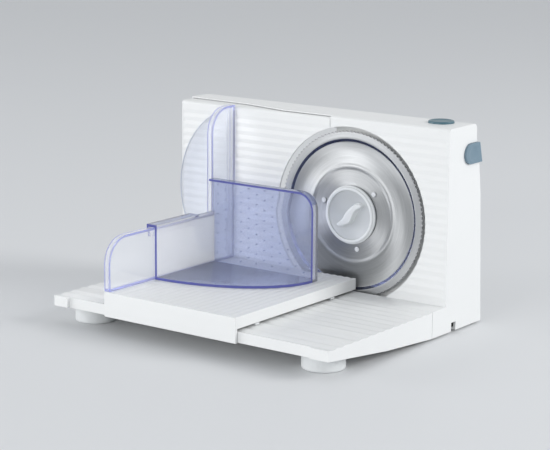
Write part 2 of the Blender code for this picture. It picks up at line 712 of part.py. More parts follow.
def blade_disc():
    """Serrated blade: an outer ring, a step down to the dish, an annular ridge and a flat centre."""
    inner_ring = BLADE_RADIUS - RING_WIDTH
    ridge_in = RIDGE_RADIUS - RIDGE_WIDTH / 2
    ridge_out = RIDGE_RADIUS + RIDGE_WIDTH / 2
    face = [(CAP_BOSS + GAP, disc_y), (ridge_in, disc_y), (ridge_in + RIDGE_HEIGHT, disc_y - RIDGE_HEIGHT),
            (ridge_out - RIDGE_HEIGHT, disc_y - RIDGE_HEIGHT), (ridge_out, disc_y),
            (inner_ring - DISH_DEPTH, disc_y), (inner_ring, blade_y), (BLADE_RADIUS, blade_y + SHEET / 3)]
    profile = face + [(radius, y + (SHEET / 3 if radius == BLADE_RADIUS else SHEET)) for radius,
                      y in reversed(face)]
    columns = 2 * SCALLOPS
    bm = bmesh.new()
    rings = []
    for radius, y in profile:
        ring = []
        for i in range(columns):
            turn = 2 * math.pi * i / columns
            reach = radius - (SCALLOP_DEPTH * (i % 2) if radius == BLADE_RADIUS else 0)
            ring.append(bm.verts.new(at("Y", axis_x + reach * math.cos(turn),
                                        axis_z + reach * math.sin(turn), y)))
        rings.append(ring)
    for one, two in zip(rings, rings[1:] + rings[:1]):
        for i in range(columns):
            j = (i + 1) % columns
            bm.faces.new((one[i], one[j], two[j], two[i]))
    disc = add_object("blade_disc", bm)
    holes = [cylinder("rivet_hole", "Y", place, RIVET_SHANK + GAP, disc_y - OVERRUN,
                      disc_y + SHEET + OVERRUN, 12) for place in rivet_places()]
    return paint(pivot(cut(disc, *holes), (axis_x, blade_y, axis_z)), STEEL, 0.28, 1.0)


def rivet_places():
    places = []
    for i in range(3):
        turn = math.radians(RIVET_ANGLE + 120 * i)
        places.append((axis_x + RIVET_CIRCLE * math.cos(turn), axis_z + RIVET_CIRCLE * math.sin(turn)))
    return places


def blade_rivets():
    seat = disc_y - GAP
    tail = flange_y + FLANGE_THICKNESS + GAP
    rivets = []
    for i, place in enumerate(rivet_places()):
        rivet = turned(f"blade_rivet_{i + 1}", "Y", place, [
            (0, seat - RIVET_HEAD), (RIVET_RADIUS * RIVET_CROWN_SHARE, seat - RIVET_HEAD),
            (RIVET_RADIUS, seat), (RIVET_SHANK, seat), (RIVET_SHANK, tail), (RIVET_RADIUS, tail),
            (RIVET_RADIUS, tail + RIVET_HEAD), (0, tail + RIVET_HEAD)], 16)
        rivets.append(paint(rivet, WHITE, 0.4))
    return rivets


def blade_gear():
    """Flange behind the blade, hub and helical worm wheel, all one moulding."""
    bore = AXLE_RADIUS + GAP
    hub_back = gear_back - PLAY
    hub = turned("blade_gear", "Y", (axis_x, axis_z), [
        (0, flange_y), (FLANGE_RADIUS, flange_y), (FLANGE_RADIUS, flange_y + FLANGE_THICKNESS),
        (HUB_RADIUS, flange_y + FLANGE_THICKNESS), (HUB_RADIUS, hub_back), (0, hub_back)], 48)
    bm = bmesh.new()
    lead_slope = WORM_STARTS * WHEEL_RADIUS / (WHEEL_TEETH * WORM_RADIUS)
    tip, root = WHEEL_RADIUS + WHEEL_ADDENDUM, WHEEL_RADIUS - WHEEL_DEDENDUM
    pitch = 2 * math.pi / WHEEL_TEETH
    tooth_shares = ((-0.28, root), (-0.13, tip), (0.13, tip), (0.28, root))
    row_shares = (0, 0.5, 1)
    rows = []
    for share in row_shares:
        y = gear_front + share * WHEEL_WIDTH
        twist = -lead_slope * (y - gear_y) / WHEEL_RADIUS
        rows.append([bm.verts.new(at("Y", axis_x + radius * math.cos(twist + pitch * (k + 0.5 + part)),
                                     axis_z + radius * math.sin(twist + pitch * (k + 0.5 + part)), y))
                     for k in range(WHEEL_TEETH) for part, radius in tooth_shares])
    for one, two in zip(rows, rows[1:]):
        for i in range(len(one)):
            j = (i + 1) % len(one)
            bm.faces.new((one[i], one[j], two[j], two[i]))
    bm.faces.new(rows[0])
    bm.faces.new(rows[-1])
    wheel = add_object("wheel", bm)
    gear = join(hub, wheel)
    holes = [cylinder("rivet_hole", "Y", place, RIVET_SHANK + GAP, flange_y - OVERRUN,
                      flange_y + FLANGE_THICKNESS + OVERRUN, 12) for place in rivet_places()]
    axle_bore = cylinder("axle_bore", "Y", (axis_x, axis_z), bore, flange_y + FLANGE_THICKNESS,
                         gear_back + OVERRUN, 32)
    return paint(pivot(cut(gear, axle_bore, *holes), (axis_x, gear_y, axis_z)), NATURAL, 0.45)


def blade_axle():
    head = carrier_y + CARRIER_THICKNESS + GAP
    axle = turned("blade_axle", "Y", (axis_x, axis_z), [
        (0, flange_y + FLANGE_THICKNESS + GAP), (AXLE_RADIUS, flange_y + FLANGE_THICKNESS + GAP),
        (AXLE_RADIUS, head), (AXLE_RADIUS + AXLE_HEAD, head), (AXLE_RADIUS + AXLE_HEAD, head + AXLE_HEAD),
        (0, head + AXLE_HEAD)], 32)
    return paint(axle, STEEL, 0.3, 1.0)


def axle_carrier():
    posts = carrier_posts()
    margin = POST_RADIUS + WALL / 2
    low, high = posts[2][1] - margin, posts[0][1] + margin
    outline = [(posts[2][0] - margin, low), (posts[3][0] + margin, low), (posts[1][0] + margin, axis_z),
               (posts[1][0] + margin, high), (posts[0][0] - margin, high)]
    plate = prism("axle_carrier", "Y", outline, carrier_y, carrier_y + CARRIER_THICKNESS)
    hole = cylinder("carrier_hole", "Y", (axis_x, axis_z), AXLE_RADIUS + GAP, carrier_y - OVERRUN,
                    carrier_y + CARRIER_THICKNESS + OVERRUN, 32)
    return paint(cut(plate, hole), STEEL, 0.4, 1.0)


def motor_worm():
    """Shaft with a two-start right-hand worm. Each column of points is shifted along the lead, so the crests
    follow the helix without a break."""
    bm = bmesh.new()
    pitch = 2 * math.pi * WHEEL_RADIUS / WHEEL_TEETH
    lead = WORM_STARTS * pitch
    crest, root = WORM_RADIUS + WORM_ADDENDUM, WORM_RADIUS - WORM_DEDENDUM
    thread_shares = ((0.29, root), (0.41, crest), (0.59, crest), (0.71, root))
    columns = 24
    low, high = axis_z - WORM_LENGTH / 2, axis_z + WORM_LENGTH / 2
    per_lead = WORM_STARTS * len(thread_shares)
    turns = math.ceil(WORM_LENGTH / lead) + 2
    rows = turns * per_lead
    # a thread's crest stands level with the blade's axis on the side that faces the wheel
    start = axis_z - (turns / 2) * lead - lead / 2 - pitch / 2
    grid = []
    for column in range(columns):
        turn = 2 * math.pi * column / columns
        points = []
        for row in range(rows + per_lead):
            share, radius = thread_shares[row % len(thread_shares)]
            z = start + (row // len(thread_shares) + share) * pitch + lead * column / columns
            points.append(bm.verts.new((worm_x + radius * math.cos(turn), gear_y + radius * math.sin(turn),
                                        z)))
        grid.append(points)
    for column in range(columns):
        for row in range(rows - 1):
            if column < columns - 1:
                bm.faces.new((grid[column][row], grid[column + 1][row], grid[column + 1][row + 1],
                              grid[column][row + 1]))
            else:
                over = row + per_lead
                bm.faces.new((grid[column][row], grid[0][over], grid[0][over + 1], grid[column][row + 1]))
    for height, keep in ((low, -1), (high, 1)):
        bmesh.ops.bisect_plane(bm, geom=bm.verts[:] + bm.edges[:] + bm.faces[:], plane_co=(0, 0, height),
                               plane_no=(0, 0, keep), clear_outer=True)
        open_edges = [e for e in bm.edges if e.is_boundary]
        rim = [e for e in open_edges if all(abs(v.co.z - height) < TOLERANCE for v in e.verts)]
        bmesh.ops.contextual_create(bm, geom=rim)
    bmesh.ops.delete(bm, geom=[v for v in bm.verts if not v.link_faces], context="VERTS")
    worm = add_object("motor_worm", bm)
    lower = cylinder("shaft", "Z", (worm_x, gear_y), SHAFT_RADIUS, can_low + GAP - CAN_WALL,
                     arm_z + ARM_HEIGHT / 2, 24)
    worm = join(worm, lower)
    return paint(pivot(worm, (worm_x, gear_y, axis_z)), STEEL, 0.3, 1.0)


def motor():
    """Can, rotor and end cap, and the bracket and bush that hold them."""
    centre = (worm_x, gear_y)
    bore = SHAFT_RADIUS + GAP
    can = turned("motor_can", "Z", centre, [
        (CAN_RADIUS, can_low), (CAN_RADIUS, can_top), (bore, can_top), (bore, can_top - CAN_WALL),
        (CAN_RADIUS - CAN_WALL, can_top - CAN_WALL), (CAN_RADIUS - CAN_WALL, can_low)], 40)
    rotor_low, rotor_high = can_low + 2 * BRACKET_SIDE, can_top - 2 * BRACKET_SIDE
    rotor = turned("motor_rotor", "Z", centre, [
        (bore, rotor_low), (ROTOR_RADIUS, rotor_low), (ROTOR_RADIUS, rotor_high), (bore, rotor_high)], 24)
    end_cap = turned("motor_end_cap", "Z", centre, [
        (0, can_low - 2 * WALL), (CAN_RADIUS, can_low - 2 * WALL), (CAN_RADIUS, can_low - GAP),
        (bore, can_low - GAP), (bore, can_low - GAP - WALL), (0, can_low - GAP - WALL)], 40)
    half = CAN_RADIUS + WALL + BRACKET_SIDE
    bracket = box("motor_bracket", (worm_x - half, worm_x + half), (tub_back + GAP, carrier_y - PLAY),
                  (bracket_z, bracket_z + BRACKET_THICKNESS))
    shaft_hole = cylinder("shaft_hole", "Z", centre, bore + GAP, bracket_z - OVERRUN,
                          bracket_z + BRACKET_THICKNESS + OVERRUN, 24)
    gear_way = cylinder("gear_way", "Y", (axis_x, axis_z), WHEEL_RADIUS + 2 * WHEEL_ADDENDUM,
                        gear_front - WALL, carrier_y + OVERRUN, 48)
    bracket = cut(bracket, shaft_hole, gear_way)
    bush = turned("worm_bush", "Z", centre, [
        (bore, arm_z), (bore + BUSH_WALL / 2, arm_z), (bore + BUSH_WALL / 2, arm_z + ARM_HEIGHT),
        (bore, arm_z + ARM_HEIGHT)], 24)
    return [paint(can, STEEL, 0.35, 1.0), paint(pivot(rotor, (*centre, axis_z)), COPPER, 0.5, 0.6),
            paint(end_cap, DARK, 0.5), paint(bracket, STEEL, 0.4, 1.0), paint(bush, BRASS, 0.4, 1.0)]


def blade_lock_cap():
    """Round cap with a raised rim, a shallow dish and an S-shaped grip across it."""
    base = disc_y - GAP
    rim_y = base - CAP_HEIGHT
    dish_y = rim_y + CAP_DISH
    cap = turned("blade_lock_cap", "Y", (axis_x, axis_z), [
        (0, flange_y - GAP), (CAP_BOSS, flange_y - GAP), (CAP_BOSS, base), (CAP_RADIUS, base),
        (CAP_RADIUS, rim_y + LIP), (CAP_RADIUS - LIP, rim_y), (CAP_RADIUS - CAP_RIM, rim_y),
        (CAP_RADIUS - CAP_RIM - LIP, dish_y), (0, dish_y)], 48)
    grip = prism("grip", "Y", grip_outline(), dish_y - GRIP_HEIGHT, dish_y + CAP_DISH / 2)
    return paint(pivot(join(cap, grip), (axis_x, base, axis_z)), LIGHT_GREY, 0.35)


def grip_outline():
    """The grip's S shape: narrow rounded ends set to opposite sides, thicker in the middle."""
    half = GRIP_LENGTH / 2
    upper, lower = [], []
    for i in range(GRIP_STEPS + 1):
        share = -1 + 2 * i / GRIP_STEPS
        width = GRIP_NECK + (GRIP_MIDDLE - GRIP_NECK) * math.cos(share * math.pi / 2) ** 2
        width *= max(GRIP_END_SHARE, math.sqrt(1 - share ** GRIP_ROUNDNESS))
        sway = GRIP_BEND * math.sin(share * math.pi)
        upper.append((share * half, sway + width / 2))
        lower.append((share * half, sway - width / 2))
    turn = Matrix.Rotation(math.radians(RIVET_ANGLE), 2)
    points = [turn @ Vector(point) for point in lower + upper[::-1]]
    return [(axis_x + a, axis_z + b) for a, b in points]


def top_button():
    under = top + BUTTON_STAND - BUTTON_THICKNESS
    crown = top + BUTTON_STAND
    foot = switch_z + SWITCH_HEIGHT / 2 + BUTTON_TRAVEL + PLAY
    button = turned("top_button", "Z", (button_x, button_y), [
        (0, foot), (STEM_RADIUS, foot), (STEM_RADIUS, under), (BUTTON_RADIUS, under),
        *((BUTTON_RADIUS * share, crown - LIP * drop) for share, drop in CROWN_SHARES)], 32)
    return paint(pivot(button, (button_x, button_y, top)), BLUE_GREY, 0.35)


def button_spring():
    low = switch_z + SWITCH_HEIGHT / 2 + SPRING_WIRE + GAP
    high = top + BUTTON_STAND - BUTTON_THICKNESS - SPRING_WIRE - GAP
    steps = SPRING_STEPS * SPRING_TURNS
    curve = bpy.data.curves.new("button_spring", "CURVE")
    curve.dimensions = "3D"
    curve.bevel_depth = SPRING_WIRE
    curve.bevel_resolution = 1
    curve.use_fill_caps = True
    spline = curve.splines.new("POLY")
    spline.points.add(steps)
    for i in range(steps + 1):
        turn = 2 * math.pi * SPRING_TURNS * i / steps
        spline.points[i].co = (button_x + SPRING_RADIUS * math.cos(turn),
                               button_y + SPRING_RADIUS * math.sin(turn),
                               low + (high - low) * i / steps, 1)
    spring = bpy.data.objects.new("button_spring", curve)
    bpy.context.collection.objects.link(spring)
    material = bpy.data.materials.new("spring_finish")
    material.use_nodes = True
    material.node_tree.nodes["Principled BSDF"].inputs["Metallic"].default_value = 1
    curve.materials.append(material)
    return spring


def side_button():
    """D-shaped button with a skirt that wraps round the rear edge, and a plunger inside."""
    outer = prism("side_button", "X", side_button_outline(0), side_button_inner, right + BUTTON_STAND)
    radius = SIDE_BUTTON_HEIGHT / 2
    pocket = prism("pocket", "X", side_button_outline(-WALL), side_button_inner - OVERRUN, right - WALL / 2)
    plunger = cylinder("plunger", "X", (switch_y, switch_z), STEM_RADIUS,
                       switch_right + BUTTON_TRAVEL + GAP, right, 16)
    button = join(cut(outer, pocket), plunger)
    dish = turned("dish", "X", (switch_y + radius / 3, switch_z), [
        *((radius * share, right + BUTTON_STAND + LIP * rise) for share, rise in DISH_SHARES),
        (0, right + BUTTON_STAND + 2 * LIP)], 24)
    return paint(pivot(cut(button, dish), (right, switch_y, switch_z)), BLUE_GREY, 0.35)


def safety_switch():
    body = box("safety_switch", (switch_left, switch_right),
               (switch_y - SWITCH_DEPTH / 2, switch_y + SWITCH_DEPTH / 2),
               (switch_z - SWITCH_HEIGHT / 2, switch_z + SWITCH_HEIGHT / 2))
    return paint(body, DARK, 0.5)


def rear_cover():
    """Plate that closes the motor compartment, flush with the back, with screw bosses, vents and a notch for
    the side button."""
    low, high = bottom + WALL + GAP, window_top - GAP
    x_low, x_high = seam_x + WALL + GAP, right - WALL - GAP
    outline = back_line(low, high) + back_line(low, high, WALL)[::-1]
    cover = prism("rear_cover", "X", outline, x_low, x_high)
    bosses = [cylinder("cover_boss", "Y", (x, z), COVER_BOSS - WALL / 2, cover_boss_y - 2 * WALL,
                       back_at(z) - WALL / 2, 16) for x, z, start in screw_places()]
    cover = join(cover, *bosses)
    cutters = []
    for x, z, start in screw_places():
        cutters.append(cylinder("head_pocket", "Y", (x, z), SCREW_HEAD + GAP, cover_boss_y - WALL,
                                back + OVERRUN, 16))
        cutters.append(cylinder("screw_hole", "Y", (x, z), SCREW_RADIUS + GAP, cover_boss_y - 3 * WALL,
                                cover_boss_y, 12))
    cutters.append(prism("button_notch", "X", side_button_outline(2 * GAP),
                         side_button_inner - BUTTON_TRAVEL - PLAY, right))
    middle = (can_low + can_top) / 2
    for i in range(VENTS):
        x = worm_x + (i - (VENTS - 1) / 2) * VENT_PITCH
        cutters.append(box("vent", (x - VENT_WIDTH / 2, x + VENT_WIDTH / 2),
                           (back - 3 * WALL - BACK_LEAN, back + OVERRUN),
                           (middle - VENT_LENGTH / 2, middle + VENT_LENGTH / 2)))
    return paint(cut(cover, *cutters), WHITE)


def cover_screws():
    screws = []
    for i, (x, z, start) in enumerate(screw_places()):
        seat = cover_boss_y - WALL + GAP
        screw = turned(f"cover_screw_{i + 1}", "Y", (x, z), [
            (0, seat - SCREW_LENGTH), (SCREW_RADIUS, seat - SCREW_LENGTH), (SCREW_RADIUS, seat),
            (SCREW_HEAD, seat), (SCREW_HEAD, seat + SCREW_HEAD_HEIGHT), (0, seat + SCREW_HEAD_HEIGHT)], 12)
        screws.append(paint(screw, STEEL, 0.35, 1.0))
    return screws


def mains_parts():
    x_high = right - WALL - GAP
    middle_y = notch_y + NOTCH_WIDTH / 2
    gland = box("cord_gland", (x_high - GLAND_LENGTH, x_high),
                (notch_y - WALL, notch_y + NOTCH_WIDTH + WALL),
                (bottom + WALL + GAP, bottom + NOTCH_HEIGHT + WALL))
    cord_hole = cylinder("cord_hole", "X", (middle_y, bottom + WALL + 2 * CORD_RADIUS), CORD_RADIUS,
                         x_high - GLAND_LENGTH - OVERRUN, x_high + OVERRUN, 16)
    gland = cut(gland, cord_hole)
    x_low = worm_x + CAN_RADIUS + 2 * WALL
    block = box("terminal_block", (x_low, x_low + TERMINAL_WIDTH), (middle_y, middle_y + TERMINAL_DEPTH),
                (bottom + WALL + GAP, bottom + WALL + TERMINAL_HEIGHT))
    return [paint(gland, DARK, 0.7), paint(block, NATURAL, 0.5)]


def base_outline(inset):
    """The base seen from above, drawn in by an amount."""
    edge_left, edge_right = left + inset, right - inset
    near = front + inset
    rear = hinge_y - SEAM - inset
    cut_x = left + LEFT_CUT + inset
    cut_y = front + LEFT_CUT_SETBACK
    recess = front + FRONT_RECESS + inset
    if inset:
        near = recess
    return [(edge_left, near), (left + CORNER_BLOCK_LEFT, near),
            (left + CORNER_BLOCK_LEFT, recess + GAP * bool(inset)),
            (right - CORNER_BLOCK_RIGHT, recess + GAP * bool(inset)), (right - CORNER_BLOCK_RIGHT, near),
            (edge_right, near), (edge_right, rear), (cut_x, rear), (cut_x, cut_y + LEFT_CUT - inset / 2),
            (edge_left, cut_y - inset / 2)]


def front_foot_places():
    y = front + FRONT_FOOT_SETBACK
    return (("left", left + FRONT_FOOT_FROM_LEFT, y), ("right", right - FRONT_FOOT_FROM_RIGHT, y))


def base_plate():
    """Folding base: a shell whose side edges deepen towards the hinge, with proud front corners."""
    plate = prism("base_plate", "Z", base_outline(0), bottom, FOOT_TOP)
    front_low = FOOT_TOP - BASE_EDGE
    under = prism("under", "X", [
        (front - OVERRUN, bottom - OVERRUN), (front - OVERRUN, front_low), (front, front_low),
        (front + BASE_BEND_SETBACK, FOOT_TOP - BASE_BEND_DROP), (hinge_y, bottom),
        (hinge_y, bottom - OVERRUN)], left - OVERRUN, right + OVERRUN)
    hollow = prism("hollow", "Z", base_outline(BASE_SKIRT), bottom - OVERRUN, FOOT_TOP - BASE_SKIRT)
    plate = cut(plate, under, hollow)
    adds = []
    for label, x, y in front_foot_places():
        adds.append(cylinder("foot_boss", "Z", (x, y), FOOT_BOSS_RADIUS, front_low - OVERRUN,
                             FOOT_TOP - BASE_SKIRT / 2, 32))
    for x in (left + HINGE_INSET, right - HINGE_INSET):
        half = LUG_SIZE / 2
        adds.append(box("lug", (x - LUG_WIDTH / 2, x + LUG_WIDTH / 2),
                        (hinge_y - BASE_SKIRT, hinge_y + LUG_REACH),
                        (PIN_HEIGHT - half, PIN_HEIGHT + half)))
    plate = join(plate, *adds)
    cuts = []
    for label, x, y in front_foot_places():
        cuts.append(cylinder("foot_room", "Z", (x, y), FRONT_FOOT_RADIUS + GAP, bottom - OVERRUN,
                             front_low + GAP, 48))
        cuts.append(cylinder("peg_hole", "Z", (x, y), FOOT_PEG_RADIUS + GAP, front_low - OVERRUN,
                             front_low + FOOT_PEG_HEIGHT + GAP, 24))
    for x in (left + HINGE_INSET, right - HINGE_INSET):
        cuts.append(cylinder("pin_hole", "X", (hinge_y + PIN_SETBACK, PIN_HEIGHT), PIN_RADIUS + GAP,
                             x - LUG_WIDTH, x + LUG_WIDTH, 16))
    cuts.append(rib_cutter("base_ribs_flat", "X", left - OVERRUN, right + OVERRUN, front + PANEL_EDGE,
                           hinge_y - PANEL_EDGE, BASE_RIB_PITCH, FOOT_TOP, 1, BASE_RIB_DEPTH))
    return paint(cut(plate, *cuts), WHITE)


def hinge_pins():
    pins = []
    for label, x in (("left", left + HINGE_INSET), ("right", right - HINGE_INSET)):
        half = LUG_WIDTH / 2 + CHEEK
        pin = cylinder(f"hinge_pin_{label}", "X", (hinge_y + PIN_SETBACK, PIN_HEIGHT), PIN_RADIUS, x - half,
                       x + half, 16)
        pins.append(paint(pin, STEEL, 0.3, 1.0))
    return pins


def feet():
    height = FOOT_TOP - BASE_EDGE
    pieces = []
    for label, x, y in front_foot_places():
        foot = turned(f"front_foot_{label}", "Z", (x, y), [
            (0, 0), (FRONT_FOOT_RADIUS - 2 * LIP, 0), (FRONT_FOOT_RADIUS - LIP / 2, LIP / 2),
            (FRONT_FOOT_RADIUS, 2 * LIP), (FRONT_FOOT_RADIUS, height), (FOOT_PEG_RADIUS, height),
            (FOOT_PEG_RADIUS, height + FOOT_PEG_HEIGHT), (0, height + FOOT_PEG_HEIGHT)], 48)
        pieces.append(paint(foot, WHITE, 0.5))
    y = back - REAR_PAD_INSET
    for label, x in (("left", left + REAR_PAD_INSET), ("right", right - REAR_PAD_INSET)):
        pad = cylinder(f"rear_foot_{label}", "Z", (x, y), REAR_PAD_RADIUS, 0, PAD_HEIGHT - GAP, 32)
        pieces.append(paint(pad, RUBBER, 0.8))
    return pieces


def carriage_table():
    table_low = table_z - TABLE_SIDE
    rear = face_y - FACE_GAP
    table = box("carriage_table", (table_x, table_right), (front, rear), (table_low, table_z))
    skirt = box("skirt", (table_x, table_right), (front, front + SKIRT), (table_z - SKIRT_DROP, table_z))
    hollow = box("table_hollow", (table_x + SKIRT, table_right - SKIRT), (front + SKIRT, rear - SKIRT),
                 (table_low - OVERRUN, table_z - TABLE_TOP))
    ribs = rib_cutter("table_ribs", "Y", front - OVERRUN, rear + OVERRUN, wall_face + GAP,
                      table_right - PANEL_EDGE, FACE_RIB_PITCH, table_z, 1)
    return paint(pivot(cut(join(table, skirt), hollow, ribs), (table_x, front, table_z)), WHITE)


def guide_shoes():
    shoes = []
    low, high = FOOT_TOP + GAP, table_z - TABLE_TOP - GAP
    rear = hinge_y - SHOE_WIDTH - SHOE_SETBACK / 2
    for label, y in (("front", front + SHOE_SETBACK), ("rear", rear)):
        shoe = box(f"guide_shoe_{label}", (table_x + SKIRT + GAP, table_right - SKIRT - GAP),
                   (y, y + SHOE_WIDTH), (low, high))
        nub = box("nub", (table_right - 2 * SKIRT, table_right), (y, y + SHOE_WIDTH),
                  (low, table_z - TABLE_SIDE - GAP))
        shoes.append(paint(join(shoe, nub), WHITE, 0.5))
    return shoes


def wall_outline(inset):
    """Low wall, rounded at the front, and the taller part next to the stop plate. Points (y, z)."""
    near, far = front + PLAY + inset, face_y - FACE_GAP + PLAY - inset
    low, high = wall_z + inset, low_top - inset
    step = far + inset - TALL_WIDTH + inset
    crown = wall_z + TALL_WALL - inset
    radius = WALL_CORNER - inset
    return [(near, low), *arc((near + radius, high - radius), radius, 180, 90, 6), (step, high),
            *arc((step + radius, crown - radius), radius, 180, 90, 6), (far, crown), (far, low)]


def carriage_wall():
    wall = prism("carriage_wall", "X", wall_outline(0), table_x, wall_face)
    tray = prism("tray", "X", wall_outline(RIM_SHEET), table_x - OVERRUN, wall_face - WALL_SHEET)
    return paint(cut(wall, tray), PALE_CLEAR, 0.1, 0, 0.5)


def thumb_guard():
    centre = (table_x + GUARD_RADIUS - GUARD_REACH, axis_z + GUARD_RISE)
    near = table_x - GAP
    low = wall_z + GUARD_BOTTOM
    start = 180 + math.degrees(math.asin((centre[1] - low) / GUARD_RADIUS))
    end = math.degrees(math.acos((near - centre[0]) / GUARD_RADIUS))
    rear = face_y - GUARD_SETBACK
    outline = arc(centre, GUARD_RADIUS, start, end, 18)
    guard = prism("thumb_guard", "Y", outline + [(near, low)], rear - GUARD_SHEET, rear)
    return paint(guard, PALE_CLEAR, 0.1, 0, 0.5)


def food_holder():
    """Clear holder that hooks over the low wall: side plate, rimmed pressing plate and sector floor."""
    low = wall_z
    near = holder_y - HOLDER_DEPTH
    rear = holder_y + HOLDER_SHEET
    x_high = holder_x + HOLDER_WIDTH
    crown = low + HOLDER_HEIGHT
    hook_top = low_top + GAP + HOLDER_SHEET
    side = box("food_holder", (holder_x, holder_x + HOLDER_SHEET), (near, rear), (low, hook_top))
    hook_far = table_x - GAP - HOLDER_SHEET
    hook = box("hook", (hook_far, holder_x + HOLDER_SHEET), (near, near + HOOK_LENGTH),
               (low_top + GAP, hook_top))
    lip = box("hook_lip", (hook_far, table_x - GAP), (near, near + HOOK_LENGTH),
              (hook_top - HOOK_DROP, hook_top))
    corner = arc((x_high - HOLDER_CORNER, crown - HOLDER_CORNER), HOLDER_CORNER, 0, 90, 8)
    plate = prism("plate", "Y", [(holder_x, low), (x_high, low), *corner, (holder_x, crown)],
                  holder_y - HOLDER_RIM, rear)
    inner_corner = arc((x_high - HOLDER_CORNER, crown - HOLDER_CORNER), HOLDER_CORNER - RIM_SHEET, 0, 90, 8)
    room = prism("rim_room", "Y", [(holder_x - OVERRUN, low - OVERRUN), (x_high - RIM_SHEET, low - OVERRUN),
                                   *inner_corner, (holder_x - OVERRUN, crown - RIM_SHEET)],
                 holder_y - HOLDER_RIM - OVERRUN, holder_y)
    plate = cut(plate, room)
    reach_x, reach_y = HOLDER_WIDTH, HOLDER_DEPTH - HOLDER_RIM
    sweep = []
    for i in range(FLOOR_STEPS + 1):
        turn = math.pi * i / (2 * FLOOR_STEPS)
        sweep.append((holder_x + reach_x * math.sin(turn),
                      holder_y - HOLDER_RIM - reach_y * math.cos(turn)))
    floor = prism("floor", "Z", sweep + [(x_high, holder_y + HOLDER_SHEET / 2),
                                         (holder_x, holder_y + HOLDER_SHEET / 2)],
                  low, low + HOLDER_SHEET)
    holder = join(side, hook, lip, plate, floor)
    return paint(pivot(holder, (holder_x, near, low)), CLEAR_BLUE, 0.08, 0, 0.6)


def build():
    housing_shell()
    rear_cover()
    cover_screws()
    stop_plate()
    thickness_drive()
    blade_disc()
    blade_rivets()
    blade_gear()
    blade_axle()
    axle_carrier()
    motor_worm()
    motor()
    blade_lock_cap()
    top_button()
    button_spring()
    side_button()
    safety_switch()
    mains_parts()
    base_plate()
    hinge_pins()
    feet()
    carriage_table()
    guide_shoes()
    carriage_wall()
    thumb_guard()
    food_holder()


build()
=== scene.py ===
import json
import math

import bmesh
import bpy
from mathutils import Matrix, Vector


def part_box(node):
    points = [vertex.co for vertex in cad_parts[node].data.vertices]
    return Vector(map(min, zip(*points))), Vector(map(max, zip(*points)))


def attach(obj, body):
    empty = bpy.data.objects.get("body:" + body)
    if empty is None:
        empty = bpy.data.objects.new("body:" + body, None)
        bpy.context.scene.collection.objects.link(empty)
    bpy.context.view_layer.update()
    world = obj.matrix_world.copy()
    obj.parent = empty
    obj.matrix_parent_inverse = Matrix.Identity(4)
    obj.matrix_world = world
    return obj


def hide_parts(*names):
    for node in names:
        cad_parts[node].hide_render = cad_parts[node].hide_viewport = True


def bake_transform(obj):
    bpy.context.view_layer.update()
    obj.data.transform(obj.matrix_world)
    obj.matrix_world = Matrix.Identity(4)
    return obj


# Looks of the food slicer: white ribbed housing, serrated blade, clear wall and blue holder.
# Metres, X along the housing, +Y to its back, Z up.

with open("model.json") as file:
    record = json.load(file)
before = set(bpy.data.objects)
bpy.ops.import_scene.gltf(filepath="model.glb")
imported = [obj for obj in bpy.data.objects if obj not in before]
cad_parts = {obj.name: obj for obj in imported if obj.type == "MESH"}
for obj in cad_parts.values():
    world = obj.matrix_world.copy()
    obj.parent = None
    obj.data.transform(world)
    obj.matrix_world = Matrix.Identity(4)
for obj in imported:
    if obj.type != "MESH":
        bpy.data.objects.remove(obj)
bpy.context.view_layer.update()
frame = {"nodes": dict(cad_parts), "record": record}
nodes = frame["nodes"]
print("frame loaded:", len(nodes), "nodes")


def centreOf(node):
    low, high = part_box(node)
    return (low + high) / 2


def addObject(name, data):
    thing = bpy.data.objects.new(name, data)
    bpy.context.scene.collection.objects.link(thing)
    return thing


def meshFrom(name, bm):
    mesh = bpy.data.meshes.new(name)
    bm.to_mesh(mesh)
    bm.free()
    return mesh


def newPiece(name, bm, body, sharpAngle=35):
    bmesh.ops.recalc_face_normals(bm, faces=bm.faces)
    mesh = meshFrom(name, bm)
    piece = addObject(name, mesh)
    mesh.shade_smooth()
    mesh.set_sharp_from_angle(angle=math.radians(sharpAngle))
    if body:
        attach(piece, body)
    return piece


def bridge(bm, one, two):
    # quads between two closed rings of the same length
    count = len(one)
    return [bm.faces.new((one[i], one[(i + 1) % count], two[(i + 1) % count], two[i])) for i in range(count)]


def addTurned(bm, axis, centre, profile, steps, reach=None):
    # turned about Y, where centre is (x, z), or about Z, where it is (x, y)
    # profile is (radius, place along the axis); reach(i, radius) may vary the radius round the turn
    rings = []
    for radius, along in profile:
        ring = []
        for i in range(steps if radius > 0 else 1):
            turn = 2 * math.pi * i / steps
            r = reach(i, radius) if reach else radius
            a, b = centre[0] + r * math.cos(turn), centre[1] + r * math.sin(turn)
            ring.append(bm.verts.new((a, along, b) if axis == "Y" else (a, b, along)))
        rings.append(ring)
    pairs = list(zip(rings, rings[1:]))
    if profile[0][0] > 0:
        pairs.append((rings[-1], rings[0]))
    for one, two in pairs:
        for i in range(steps):
            loop = [one[i % len(one)], one[(i + 1) % len(one)], two[(i + 1) % len(two)], two[i % len(two)]]
            loop = list(dict.fromkeys(loop))
            if len(loop) > 2:
                bm.faces.new(loop)


rounding = {"weldReach": 0.00001, "flatAngle": 0.5, "sharpAngle": 30}


